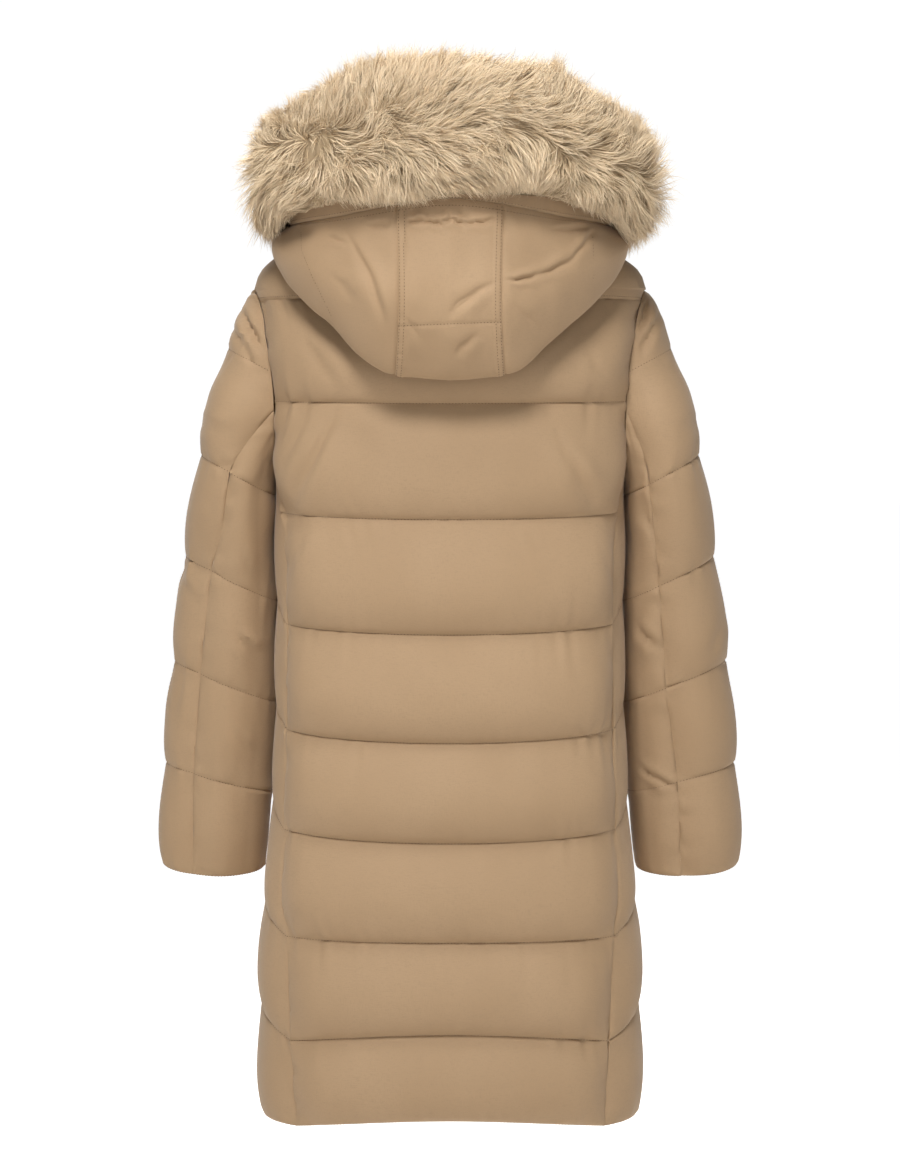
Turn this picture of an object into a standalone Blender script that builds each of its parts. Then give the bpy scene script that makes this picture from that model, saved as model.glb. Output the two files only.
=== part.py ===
"""Long hooded puffer coat, filled out as worn, with an open hollow inside.

Metres, +Z up. The coat's front faces -Y and the wearer's left is +X. The origin is the middle of
the neck's base, where the wearer carries the coat.

Every cloth piece is a wall: a plain inside grid, an outside grid raised by the quilting, and a rim.
The body's pieces lie on one surface, torso_point(angle, height), whose level rings are
superellipses. Each sleeve lies on sleeve_point(angle, station), whose tilted rings hang from the
shoulder. The armhole is where these two surfaces cross.
"""

import math
from collections import namedtuple

import bmesh
import bpy
from mathutils import Matrix, Vector

# ---------------------------------------------------------------- driving sizes

SEAM_GAP = 0.0003
ARMHOLE_GAP = 0.0008
WALL = 0.004
HOOD_WALL = 0.003
ZIP_CHANNEL = 0.0085
BACK_PUFF = 0.014
FRONT_PUFF = 0.014
SIDE_PUFF_UNDER_ARM = 0.004
SIDE_PUFF_BELOW = 0.009
UNDER_ARM_SHARE = 0.2       # how much of a front puff's height is left beside the sleeve
UNDER_ARM_ANGLE = math.radians(-50.0)
UNDER_ARM_LEVELS = (-0.730, -0.660)   # between these heights the side puffs flatten under the arm
SLEEVE_PUFF = 0.010
SLEEVE_INSIDE_PUFF = 0.002
YOKE_PUFF = 0.005
SEAM_RISE = 0.045          # distance over which a puff rises from a seam to its full height
VENT_HEIGHT = 0.155
VENT_GAP = 0.005
NECK_DROP = 0.040          # how far the front neckline lies below the back one
NECK_DROP_START = -0.120   # the height at which that drop begins
YOKE_SEAM = -0.070         # height of the straight seam across the shoulder blades
SIDE_SEAM_ANGLE = math.radians(-10.0)
SHOULDER_SEAM_ANGLE = math.radians(-32.0)
COLLAR_HEIGHT = 0.055
COLLAR_PUFF = 0.003
COLLAR_EDGE_PUFF = 0.0005

ROW_STEPS = (0.0, 0.16, 0.42, 0.72)   # rows inside one puff, closer together where it sags
ARMHOLE_ROWS = [6.29, 6.57, 6.86, 7.29, 7.57, 7.80, 7.90]   # more rows beside the armhole
BACK_COLUMNS = 14
FRONT_COLUMNS = 8
SIDE_COLUMNS = 4
YOKE_COLUMNS = 16
SLEEVE_COLUMNS = 9

# Level rings of the body's stitch surface, from the hem up to the neck's base.
Ring = namedtuple("Ring", "height half_width back_depth front_depth squareness")
TORSO = (
    Ring(-0.940, 0.199, 0.122, 0.120, 2.8),
    Ring(-0.830, 0.200, 0.124, 0.122, 2.8),
    Ring(-0.740, 0.198, 0.124, 0.122, 2.8),
    Ring(-0.640, 0.190, 0.121, 0.120, 2.8),
    Ring(-0.520, 0.184, 0.118, 0.118, 2.8),
    Ring(-0.400, 0.183, 0.117, 0.118, 2.8),
    Ring(-0.280, 0.184, 0.118, 0.120, 2.7),
    Ring(-0.180, 0.198, 0.118, 0.120, 2.6),
    Ring(-0.110, 0.207, 0.115, 0.116, 2.5),
    Ring(-0.070, 0.207, 0.112, 0.109, 2.4),
    Ring(-0.045, 0.201, 0.106, 0.103, 2.4),
    Ring(-0.030, 0.187, 0.100, 0.096, 2.3),
    Ring(-0.018, 0.161, 0.093, 0.090, 2.2),
    Ring(-0.008, 0.122, 0.083, 0.082, 2.1),
    Ring(0.000, 0.080, 0.072, 0.072, 2.0),
)

# Quilting lines: heights at the back's centre, the back seam, the side seam and the front edge.
Line = namedtuple("Line", "back_centre back_seam side_seam front_edge")
LINES = (
    Line(-0.920, -0.931, -0.929, -0.926),
    Line(-0.831, -0.843, -0.789, -0.785),
    Line(-0.736, -0.735, -0.680, -0.677),
    Line(-0.634, -0.625, -0.570, -0.568),
    Line(-0.531, -0.521, -0.465, -0.463),
    Line(-0.419, -0.411, -0.356, -0.354),
    Line(-0.300, -0.294, -0.239, -0.237),
    Line(-0.180, -0.177, -0.122, -0.120),
)

# The back seam, from the hem up to the armhole.
SeamPoint = namedtuple("SeamPoint", "height half_width")
BACK_SEAM = (
    SeamPoint(-0.940, 0.160),
    SeamPoint(-0.840, 0.166),
    SeamPoint(-0.735, 0.171),
    SeamPoint(-0.690, 0.176),
    SeamPoint(-0.560, 0.172),
    SeamPoint(-0.420, 0.171),
    SeamPoint(-0.350, 0.171),
    SeamPoint(-0.300, 0.176),
    SeamPoint(-0.250, 0.183),
    SeamPoint(-0.215, 0.189),
)

# Tilted rings of a sleeve's stitch surface, from the cuff up to the shoulder point. Each ring's
# outer and inner ends lie in the XZ plane; station is the count of quilting lines passed.
Cuff = namedtuple("Cuff", "station outer_x outer_z inner_x inner_z half_depth centre_y")
SLEEVE = (
    Cuff(0.0, 0.309, -0.674, 0.203, -0.680, 0.047, -0.062),
    Cuff(1.0, 0.304, -0.567, 0.195, -0.597, 0.054, -0.058),
    Cuff(2.0, 0.294, -0.456, 0.188, -0.500, 0.058, -0.050),
    Cuff(3.0, 0.280, -0.343, 0.188, -0.390, 0.062, -0.036),
    Cuff(3.7, 0.268, -0.266, 0.191, -0.311, 0.065, -0.018),
    Cuff(4.0, 0.262, -0.234, 0.190, -0.276, 0.066, -0.012),
    Cuff(5.0, 0.236, -0.120, 0.140, -0.172, 0.062, -0.002),
    Cuff(5.5, 0.217, -0.070, 0.125, -0.120, 0.050, 0.000),
    Cuff(6.0, 0.190, -0.046, 0.120, -0.090, 0.036, 0.000),
)
SLEEVE_SQUARENESS = 2.2

# Angles of the sleeves' seams round the sleeve: 0 is outward, 90 is the back, 180 faces the body.
SleeveSeam = namedtuple("SleeveSeam", "station left_back right_back front")
SLEEVE_SEAMS = (
    SleeveSeam(0.0, 70.0, 97.0, -80.0),
    SleeveSeam(1.0, 64.0, 93.0, -80.0),
    SleeveSeam(3.0, 67.0, 110.0, -80.0),
    SleeveSeam(4.0, 68.0, 112.0, -82.0),
)
SLEEVE_SEAM_TOP = 4.55      # the station where both sleeve seams reach the armhole

# Sections of the hood as it lies on the back, from the back's centre round to the front edge.
# Each section runs from the seam on the collar, under the pouch, round its fold and up to the
# opening. The seam's place is an angle round the collar.
Section = namedtuple("Section", "share seam_angle under fold swell rim")
HOOD = (
    Section(0.00, 90.0, (0.000, 0.137, -0.060), (0.000, 0.160, -0.157),
            (0.000, 0.200, -0.085), (0.000, 0.186, 0.010)),
    Section(0.20, 62.5, (0.052, 0.136, -0.060), (0.056, 0.159, -0.151),
            (0.052, 0.197, -0.083), (0.054, 0.183, 0.010)),
    Section(0.45, 32.3, (0.108, 0.122, -0.032), (0.122, 0.138, -0.100),
            (0.132, 0.162, -0.050), (0.124, 0.154, 0.008)),
    Section(0.65, -2.6, (0.138, 0.055, 0.006), (0.172, 0.082, -0.040),
            (0.185, 0.083, -0.014), (0.168, 0.074, 0.006)),
    Section(0.85, -37.6, (0.120, -0.048, 0.002), (0.166, -0.020, 0.000),
            (0.178, -0.018, 0.012), (0.160, -0.024, 0.016)),
    Section(1.00, -79.9, (0.034, -0.108, -0.030), (0.050, -0.124, -0.024),
            (0.056, -0.124, -0.008), (0.046, -0.112, 0.004)),
)
HOOD_RISE = 0.2             # the hood's seam on the collar, as a share of the collar's height
HOOD_SEAM_GAP = 0.0012      # between the hood's edge and the collar's face
HOOD_SEAM = 0.20            # share of the way round at which the centre panel ends
HOOD_CENTRE_COLUMNS = 6
HOOD_SIDE_COLUMNS = 16
HOOD_ROWS = 14
BAND_HEIGHT = 0.020

# The fur roll, measured from the hood's opening: its lowest and highest levels, and how far it
# reaches out over the band and in towards the neck.
FurSection = namedtuple("FurSection", "share bottom top reach_out reach_in")
FUR = (
    FurSection(0.00, 0.010, 0.158, 0.046, 0.040),
    FurSection(0.30, 0.008, 0.150, 0.048, 0.042),
    FurSection(0.50, 0.004, 0.132, 0.052, 0.044),
    FurSection(0.65, 0.003, 0.118, 0.054, 0.044),
    FurSection(0.80, 0.003, 0.106, 0.048, 0.036),
    FurSection(0.90, 0.003, 0.092, 0.036, 0.014),
    FurSection(0.97, 0.003, 0.080, 0.026, 0.008),
)
FUR_SQUARENESS = 2.6
FUR_CLEARANCE = 0.0008      # between the fur's foot and the band it hangs over
FUR_SIDES = 14
FUR_START = math.radians(-86.0)     # the roll's section turns from its outer foot ...
FUR_END = math.radians(206.0)       # ... over the top and down to the band's inner side

TAPE_WIDTH = 0.014
TAPE_THICKNESS = 0.0012
TAPE_SETBACK = 0.0015       # how far the zip's tape lies behind the walls' inner side
TapeStop = namedtuple("TapeStop", "height rows_above")
TAPE_STOPS = (
    TapeStop(-0.905, 30),
    TapeStop(-0.120, 16),
    TapeStop(0.000, 5),
    TapeStop(COLLAR_HEIGHT, 0),
)

SLIDER_RISE = 0.75          # the slider's place, as a share of the collar's height
SLIDER_WIDTH = 0.0096
SLIDER_CLEARANCE = 0.0009   # between the slider's back and the tape, which leans back
SLIDER_HEIGHT = 0.0130
SLIDER_THICKNESS = 0.0030
EAR_WIDTH = 0.0012
EAR_REACH = 0.0044
PIN_RADIUS = 0.0007
EYE_RADIUS = 0.0022
EYE_HOLE = 0.0011
PULL_WIDTH = 0.0052
PULL_THICKNESS = 0.0016
PULL_LENGTH = 0.026

SAND = (0.50, 0.37, 0.23, 1.0)
FUR_SAND = (0.56, 0.44, 0.30, 1.0)
TAPE_SAND = (0.42, 0.31, 0.19, 1.0)
NICKEL = (0.62, 0.60, 0.57, 1.0)


# ---------------------------------------------------------------- curves through table rows

def smooth(places, values, place):
    """Value at place on a cubic through the rows, level past both ends and never overshooting."""
    if place <= places[0]:
        return values[0]
    if place >= places[-1]:
        return values[-1]
    spans = [b - a for a, b in zip(places, places[1:])]
    slopes = [(b - a) / span for a, b, span in zip(values, values[1:], spans)]
    index = max(i for i in range(len(spans)) if places[i] <= place)

    def tangent(row):
        if row == 0:
            return slopes[0]
        if row == len(spans):
            return slopes[-1]
        before, after = slopes[row - 1], slopes[row]
        if before * after <= 0.0:
            return 0.0
        return 2.0 * before * after / (before + after)

    span = spans[index]
    t = (place - places[index]) / span
    rise = values[index + 1] - values[index]
    start, end = tangent(index) * span, tangent(index + 1) * span
    return values[index] + t * (start + t * (3 * rise - 2 * start - end + t * (start + end - 2 * rise)))


def column(table, key, name, place):
    """One named column of a table, read at a place along its key column."""
    return smooth([getattr(row, key) for row in table], [getattr(row, name) for row in table], place)


def steady(places, values, place):
    """Value at place on straight lines between the rows, carried on past both ends."""
    index = 0
    while index < len(places) - 2 and place > places[index + 1]:
        index += 1
    share = (place - places[index]) / (places[index + 1] - places[index])
    return values[index] + share * (values[index + 1] - values[index])


def halve(test, low, high):
    """The place between low and high where test turns from true to false."""
    for _ in range(44):
        middle = 0.5 * (low + high)
        if test(middle):
            low = middle
        else:
            high = middle
    return 0.5 * (low + high)


def blend(start, end, share):
    return start + (end - start) * share


def signed_power(value, power):
    return math.copysign(abs(value) ** power, value)


# ---------------------------------------------------------------- the body's surface

def neck_drop(angle, height):
    """How far the surface is lowered towards the front neckline."""
    share = max(0.0, (height - NECK_DROP_START) / -NECK_DROP_START)
    share = share * share * (3.0 - 2.0 * share)
    return NECK_DROP * share * max(0.0, -math.sin(angle)) ** 2


def torso_point(angle, height):
    """Point of the body's stitch surface. Angle 0 is the left side and a quarter turn is the back."""
    width = column(TORSO, "height", "half_width", height)
    side = "back_depth" if math.sin(angle) >= 0.0 else "front_depth"
    depth = column(TORSO, "height", side, height)
    power = column(TORSO, "height", "squareness", height)
    across = abs(math.cos(angle)) / width
    along = abs(math.sin(angle)) / depth
    radius = (across ** power + along ** power) ** (-1.0 / power)
    level = height - neck_drop(angle, height)
    return Vector((radius * math.cos(angle), radius * math.sin(angle), level))


def torso_normal(angle, height):
    step = 0.002
    round_way = torso_point(angle + step, height) - torso_point(angle - step, height)
    up_way = torso_point(angle, height + step * 0.5) - torso_point(angle, height - step * 0.5)
    return round_way.cross(up_way).normalized()


def torso_place(point):
    """Angle and ring height of the body's surface straight through a point."""
    angle = math.atan2(point.y, point.x)
    height = point.z
    for _ in range(4):
        height = point.z + neck_drop(angle, height)
    return angle, height


def outside_torso(point):
    angle, height = torso_place(point)
    if height > 0.0:
        return True
    surface = torso_point(angle, height)
    return point.xy.length > surface.xy.length


def even_angles(start, end, height, count):
    """Angles that split the ring's arc from start to end into count equal lengths."""
    fine = [blend(start, end, i / 60.0) for i in range(61)]
    points = [torso_point(angle, height) for angle in fine]
    lengths = [0.0]
    for before, after in zip(points, points[1:]):
        lengths.append(lengths[-1] + (after - before).length)
    return [steady(lengths, fine, lengths[-1] * i / count) for i in range(count + 1)]


# ---------------------------------------------------------------- the sleeves' surface

def sleeve_point(angle, station):
    """Point of the left sleeve's stitch surface, angle in radians round its tilted ring."""
    outer = Vector((column(SLEEVE, "station", "outer_x", station), 0.0,
                    column(SLEEVE, "station", "outer_z", station)))
    inner = Vector((column(SLEEVE, "station", "inner_x", station), 0.0,
                    column(SLEEVE, "station", "inner_z", station)))
    centre = 0.5 * (outer + inner)
    centre.y = column(SLEEVE, "station", "centre_y", station)
    depth = column(SLEEVE, "station", "half_depth", station)
    power = 2.0 / SLEEVE_SQUARENESS
    across = signed_power(math.cos(angle), power)
    along = signed_power(math.sin(angle), power)
    return centre + across * 0.5 * (outer - inner) + Vector((0.0, along * depth, 0.0))


def sleeve_normal(angle, station):
    step = 0.004
    round_way = sleeve_point(angle + step, station) - sleeve_point(angle - step, station)
    up_way = sleeve_point(angle, station + step) - sleeve_point(angle, station - step)
    return round_way.cross(up_way).normalized()


def armhole_angle(station, way):
    """Angle at which a sleeve ring runs into the body, at the back (way 1) or the front (-1)."""
    return way * halve(lambda a: outside_torso(sleeve_point(way * a, station)), 0.0, math.pi)


def armhole_station(angle):
    """Station at which the sleeve's line at an angle runs into the body."""
    return halve(lambda s: outside_torso(sleeve_point(angle, s)), 3.8, 6.0)


ARMPIT = armhole_station(math.pi)
SHOULDER = armhole_station(0.0)


def armhole_edge(way, count=40):
    """Ring heights and angles on the body along one half of the armhole, from the armpit up."""
    places = []
    for i in range(count + 1):
        turn = math.pi * i / count
        station = blend(ARMPIT, SHOULDER, 0.5 - 0.5 * math.cos(turn))
        angle = armhole_angle(station, way) if 0 < i < count else (way * math.pi if i == 0 else 0.0)
        around, height = torso_place(sleeve_point(angle, station))
        places.append((height, around))
    return places


ARMHOLE_BACK = armhole_edge(1)
ARMHOLE_FRONT = armhole_edge(-1)
SHOULDER_HEIGHT = ARMHOLE_BACK[-1][0]


def edge_angle(edge, height):
    return steady([place[0] for place in edge], [place[1] for place in edge], height)


def back_seam_angle(height):
    """Angle of the back seam: the place on the ring where it has the seam's half width."""
    width = column(BACK_SEAM, "height", "half_width", height)
    return halve(lambda angle: torso_point(angle, height).x > width, 0.0, 0.5 * math.pi)


ARMHOLE_WAIST = 18          # the row of both edges at which the armhole is widest
BACK_JOIN = halve(lambda h: edge_angle(ARMHOLE_BACK, h) < back_seam_angle(h),
                  ARMHOLE_BACK[0][0], ARMHOLE_BACK[ARMHOLE_WAIST][0])
SIDE_JOIN = halve(lambda h: edge_angle(ARMHOLE_FRONT, h) > SIDE_SEAM_ANGLE,
                  ARMHOLE_FRONT[0][0], ARMHOLE_FRONT[ARMHOLE_WAIST][0])


# ---------------------------------------------------------------- rows along the body's seams

def line_heights(name, top):
    """Heights of all quilting lines in one column of the table, and of the piece's top edge."""
    return [getattr(line, name) for line in LINES] + [top]


BACK_EDGE_HEIGHTS = line_heights("back_seam", YOKE_SEAM)
BACK_CENTRE_HEIGHTS = line_heights("back_centre", YOKE_SEAM)
FRONT_SIDE_HEIGHTS = line_heights("side_seam", SHOULDER_HEIGHT)
FRONT_EDGE_HEIGHTS = line_heights("front_edge", -0.055)


def height_at(heights, row):
    return steady(list(range(len(heights))), heights, row)


def row_at(heights, height):
    return steady(heights, list(range(len(heights))), height)


def quilt_rows(count):
    return [line + step for line in range(count) for step in ROW_STEPS] + [float(count)]


def back_rows():
    """Rows of the back panel, with one more where the side panel's corner meets it."""
    join = row_at(BACK_EDGE_HEIGHTS, BACK_JOIN)
    rows = [row for row in quilt_rows(len(LINES)) if abs(row - join) > 0.06]
    return sorted(rows + [join] + ARMHOLE_ROWS), join


BACK_ROWS, BACK_JOIN_ROW = back_rows()
SIDE_LINES = 5
SIDE_ROWS = [row for row in BACK_ROWS if row <= BACK_JOIN_ROW]


def side_back_height(row):
    return height_at(BACK_EDGE_HEIGHTS, row)


def side_front_height(row):
    """Height on the side seam of the side panel's row, whose last puff ends at the armhole."""
    if row <= SIDE_LINES:
        return height_at(FRONT_SIDE_HEIGHTS, row)
    start = side_back_height(SIDE_LINES)
    share = (side_back_height(row) - start) / (BACK_JOIN - start)
    return blend(FRONT_SIDE_HEIGHTS[SIDE_LINES], SIDE_JOIN, share)


def front_rows():
    """Rows of a front panel: the side panel's rows below the armhole, then its own."""
    below = [row_at(FRONT_SIDE_HEIGHTS, side_front_height(row)) for row in SIDE_ROWS]
    join = below[-1]
    last = len(LINES) - 1
    above = [row for row in quilt_rows(last) + ARMHOLE_ROWS if join + 0.05 < row <= last]
    shoulder = [last + 1.0 - (1.0 - step) ** 2 for step in (0.15, 0.3, 0.45, 0.6, 0.75, 0.88, 1.0)]
    return below + sorted(above) + shoulder


FRONT_ROWS = front_rows()
SHOULDER_ROWS = 5


def shoulder_seam(share):
    """Angle and height of the front shoulder seam, from the shoulder point to the neck."""
    reach = blend(column(TORSO, "height", "half_width", SHOULDER_HEIGHT), TORSO[-1].half_width, share)
    level = halve(lambda h: column(TORSO, "height", "half_width", h) > reach, SHOULDER_HEIGHT, 0.0)
    return SHOULDER_SEAM_ANGLE * share ** 1.5, level


# ---------------------------------------------------------------- quilting

def sag(share):
    """Height of a hanging puff between two quilting lines, fullest below its middle."""
    share = share - math.floor(share)
    return math.sin(math.pi * share ** 0.75)


def seam_fade(distance):
    """How much of its height a puff has at a distance from the nearest seam."""
    return math.sin(0.5 * math.pi * min(1.0, distance / SEAM_RISE))


# ---------------------------------------------------------------- building walls

def make_material(name, colour, roughness, metallic=0.0):
    material = bpy.data.materials.new(name)
    material.use_nodes = True
    shader = material.node_tree.nodes["Principled BSDF"]
    shader.inputs["Base Color"].default_value = colour
    shader.inputs["Roughness"].default_value = roughness
    shader.inputs["Metallic"].default_value = metallic
    return material


def place_object(name, mesh, material, collection, parent):
    item = bpy.data.objects.new(name, mesh)
    mesh.materials.append(material)
    collection.objects.link(item)
    item.parent = parent
    return item


def pull_in_edges(grid, gap, sides):
    """Moves a grid's edge points in from their seams, along the cloth."""
    last_row, last_column = len(grid) - 1, len(grid[0]) - 1
    moves = []
    for r in range(last_row + 1):
        for c in range(last_column + 1):
            inward = []
            if "start" in sides and c == 0:
                inward.append((r, 1))
            if "end" in sides and c == last_column:
                inward.append((r, last_column - 1))
            if "bottom" in sides and r == 0:
                inward.append((1, c))
            if "top" in sides and r == last_row:
                inward.append((last_row - 1, c))
            moves.append((r, c, inward))
    shifted = [list(row) for row in grid]
    for r, c, inward in moves:
        for near in inward:
            step = grid[near[0]][near[1]] - grid[r][c]
            if step.length > 1e-6:
                shifted[r][c] = shifted[r][c] + step.normalized() * gap
    return shifted


def wall_mesh(name, outside, inside, mirrored=False):
    """Closed wall between two grids of points that have the same rows and columns."""
    rows, columns = len(outside), len(outside[0])
    flip = -1.0 if mirrored else 1.0
    shape = bmesh.new()

    def add_grid(points):
        return [[shape.verts.new((flip * p.x, p.y, p.z)) for p in row] for row in points]

    outer, inner = add_grid(outside), add_grid(inside)
    for r in range(rows - 1):
        for c in range(columns - 1):
            shape.faces.new((outer[r][c], outer[r][c + 1], outer[r + 1][c + 1], outer[r + 1][c]))
            shape.faces.new((inner[r][c], inner[r + 1][c], inner[r + 1][c + 1], inner[r][c + 1]))
    border = [(0, c) for c in range(columns)]
    border += [(r, columns - 1) for r in range(1, rows)]
    border += [(rows - 1, c) for c in range(columns - 2, -1, -1)]
    border += [(r, 0) for r in range(rows - 2, 0, -1)]
    for here, after in zip(border, border[1:] + border[:1]):
        shape.faces.new((outer[here[0]][here[1]], inner[here[0]][here[1]],
                         inner[after[0]][after[1]], outer[after[0]][after[1]]))
    bmesh.ops.remove_doubles(shape, verts=shape.verts, dist=1e-5)
    bmesh.ops.triangulate(shape, faces=shape.faces)
    bmesh.ops.recalc_face_normals(shape, faces=shape.faces)
    mesh = bpy.data.meshes.new(name)
    shape.to_mesh(mesh)
    shape.free()
    mesh.shade_smooth()
    return mesh


def piece_grids(places, point_of, normal_of, puff_of, gap, sides):
    """Outside and inside points of a cloth piece from a grid of surface places."""
    surface = [[point_of(*place) for place in row] for row in places]
    surface = pull_in_edges(surface, gap, sides)
    outside, inside = [], []
    for r, row in enumerate(surface):
        normals = [normal_of(*place) for place in places[r]]
        outside.append([p + n * puff_of(r, c) for c, (p, n) in enumerate(zip(row, normals))])
        inside.append([p - n * WALL for p, n in zip(row, normals)])
    return outside, inside


def body_puff(places, rows, height):
    """Function of row and column that gives the quilting's height on a body piece."""
    points = [[torso_point(*place) for place in row] for row in places]

    def puff(r, c):
        away = min((points[r][c] - points[r][0]).length, (points[r][c] - points[r][-1]).length)
        return height * sag(rows[r]) * seam_fade(away)

    return puff


# ---------------------------------------------------------------- the body's pieces

def back_panel(make):
    places = []
    for row in BACK_ROWS:
        edge = height_at(BACK_EDGE_HEIGHTS, row)
        centre = height_at(BACK_CENTRE_HEIGHTS, row)
        angle = back_seam_angle(edge) if row <= BACK_JOIN_ROW else edge_angle(ARMHOLE_BACK, edge)
        angles = even_angles(angle, math.pi - angle, edge, BACK_COLUMNS)
        bows = [1.0 - (2.0 * c / BACK_COLUMNS - 1.0) ** 2 for c in range(BACK_COLUMNS + 1)]
        places.append([(a, blend(edge, centre, bow)) for a, bow in zip(angles, bows)])
    puff = body_puff(places, BACK_ROWS, BACK_PUFF)
    grids = piece_grids(places, torso_point, torso_normal, puff, 0.5 * SEAM_GAP,
                        ("start", "end", "top"))
    make("back", grids)


def armhole_floor(angle):
    """Height of the armhole's lower edge on the body at an angle."""
    if angle >= ARMHOLE_BACK[0][1]:
        return halve(lambda h: edge_angle(ARMHOLE_BACK, h) < angle,
                     ARMHOLE_BACK[0][0], ARMHOLE_BACK[ARMHOLE_WAIST][0])
    return halve(lambda h: edge_angle(ARMHOLE_FRONT, h) > angle,
                 ARMHOLE_FRONT[0][0], ARMHOLE_FRONT[ARMHOLE_WAIST][0])


def front_puff(places, rows):
    """Quilting of a front panel, flatter beside the side seam where the sleeve hangs."""
    whole = body_puff(places, rows, FRONT_PUFF)
    low, high = UNDER_ARM_LEVELS

    def puff(r, c):
        angle, height = places[r][c]
        beside = min(1.0, max(0.0, (UNDER_ARM_ANGLE - angle) / (UNDER_ARM_ANGLE - SIDE_SEAM_ANGLE)))
        above = min(1.0, max(0.0, (height - low) / (high - low)))
        return whole(r, c) * blend(1.0, UNDER_ARM_SHARE, beside * above)

    return puff


def side_puff(places, rows):
    """Quilting of a side panel, flatter where the sleeve hangs against it."""
    whole = body_puff(places, rows, 1.0)
    low, high = UNDER_ARM_LEVELS

    def puff(r, c):
        share = min(1.0, max(0.0, (places[r][c][1] - low) / (high - low)))
        return whole(r, c) * blend(SIDE_PUFF_BELOW, SIDE_PUFF_UNDER_ARM, share)

    return puff


def side_panel(make, name, mirrored):
    places, rows = [], []
    for row in SIDE_ROWS:
        back, front = side_back_height(row), side_front_height(row)
        start, end = SIDE_SEAM_ANGLE, back_seam_angle(back)
        lift = VENT_GAP * max(0.0, 1.0 - (front - LINES[0].side_seam) / VENT_HEIGHT) / 0.2
        heights = [blend(front, back, c / SIDE_COLUMNS) for c in range(SIDE_COLUMNS + 1)]
        angles = even_angles(start + lift, end, 0.5 * (back + front), SIDE_COLUMNS)
        places.append(list(zip(angles, heights)))
        share = (back - side_back_height(SIDE_LINES)) / (BACK_JOIN - side_back_height(SIDE_LINES))
        rows.append(row if row < SIDE_LINES else SIDE_LINES + max(0.0, share))
    for c, (angle, height) in enumerate(places[-1]):
        lift = armhole_floor(angle) - height
        for r, row in enumerate(rows):
            share = max(0.0, row - SIDE_LINES)
            places[r][c] = (places[r][c][0], places[r][c][1] + lift * share)
    puff = side_puff(places, rows)
    grids = piece_grids(places, torso_point, torso_normal, puff, 0.5 * SEAM_GAP,
                        ("start", "end", "top"))
    make(name, grids, mirrored)


def front_panel(make, name, mirrored):
    places, rows = [], []
    last = len(LINES)

    def add_row(row, outer_angle, outer_height, inner_height):
        width = ZIP_CHANNEL
        inner = -halve(lambda a: torso_point(-a, inner_height).x > width, 0.2, 0.5 * math.pi)
        angles = even_angles(inner, outer_angle, outer_height, FRONT_COLUMNS)
        shares = [c / FRONT_COLUMNS for c in range(FRONT_COLUMNS + 1)]
        places.append([(a, blend(inner_height, outer_height, s)) for a, s in zip(angles, shares)])
        rows.append(row)

    for row in FRONT_ROWS:
        outer = height_at(FRONT_SIDE_HEIGHTS, row)
        inner = height_at(FRONT_EDGE_HEIGHTS, row)
        angle = SIDE_SEAM_ANGLE if outer <= SIDE_JOIN + 1e-6 else edge_angle(ARMHOLE_FRONT, outer)
        add_row(row, angle, outer, inner)
    for step in range(1, SHOULDER_ROWS + 1):
        share = step / SHOULDER_ROWS
        angle, outer = shoulder_seam(share)
        add_row(last + 0.98 * share, angle, outer, blend(FRONT_EDGE_HEIGHTS[-1], 0.0, share))
    puff = front_puff(places, [min(row, last - 1e-4) for row in rows])
    grids = piece_grids(places, torso_point, torso_normal, puff, 0.5 * SEAM_GAP,
                        ("end", "top"))
    make(name, grids, mirrored)


def yoke(make):
    places = []
    levels = [(edge_angle(ARMHOLE_BACK, blend(YOKE_SEAM, SHOULDER_HEIGHT, share)),
               blend(YOKE_SEAM, SHOULDER_HEIGHT, share)) for share in (0.0, 0.44, 0.75, 0.94)]
    levels += [shoulder_seam(step / SHOULDER_ROWS) for step in range(SHOULDER_ROWS + 1)]
    for angle, height in levels:
        angles = even_angles(angle, math.pi - angle, height, YOKE_COLUMNS)
        places.append([(a, height) for a in angles])
    points = [[torso_point(*place) for place in row] for row in places]

    def puff(r, c):
        away = [(points[r][c] - points[r][0]).length, (points[r][c] - points[r][-1]).length,
                (points[r][c] - points[0][c]).length, (points[r][c] - points[-1][c]).length]
        return YOKE_PUFF * seam_fade(min(away))

    grids = piece_grids(places, torso_point, torso_normal, puff, 0.5 * SEAM_GAP,
                        ("start", "end", "bottom", "top"))
    make("yoke", grids)


# ---------------------------------------------------------------- the sleeves

def sleeve_seam(side, station):
    """Back and front seam angles of a sleeve, which run into the armhole above the elbow."""
    back = math.radians(column(SLEEVE_SEAMS, "station", side + "_back", min(station, 4.0)))
    front = math.radians(column(SLEEVE_SEAMS, "station", "front", min(station, 4.0)))
    if station > 4.0:
        share = min(1.0, (station - 4.0) / (SLEEVE_SEAM_TOP - 4.0))
        back = blend(back, armhole_angle(SLEEVE_SEAM_TOP, 1), share)
        front = blend(front, armhole_angle(SLEEVE_SEAM_TOP, -1), share)
    return back, front


def sleeve_puff(places, rows):
    points = [[sleeve_point(*place) for place in row] for row in places]

    def puff(r, c):
        away = min((points[r][c] - points[r][0]).length, (points[r][c] - points[r][-1]).length)
        facing_body = max(0.0, -math.cos(places[r][c][0]))
        height = blend(SLEEVE_PUFF, SLEEVE_INSIDE_PUFF, min(1.0, 1.6 * facing_body))
        return height * sag(rows[r]) * seam_fade(away)

    return puff


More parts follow.
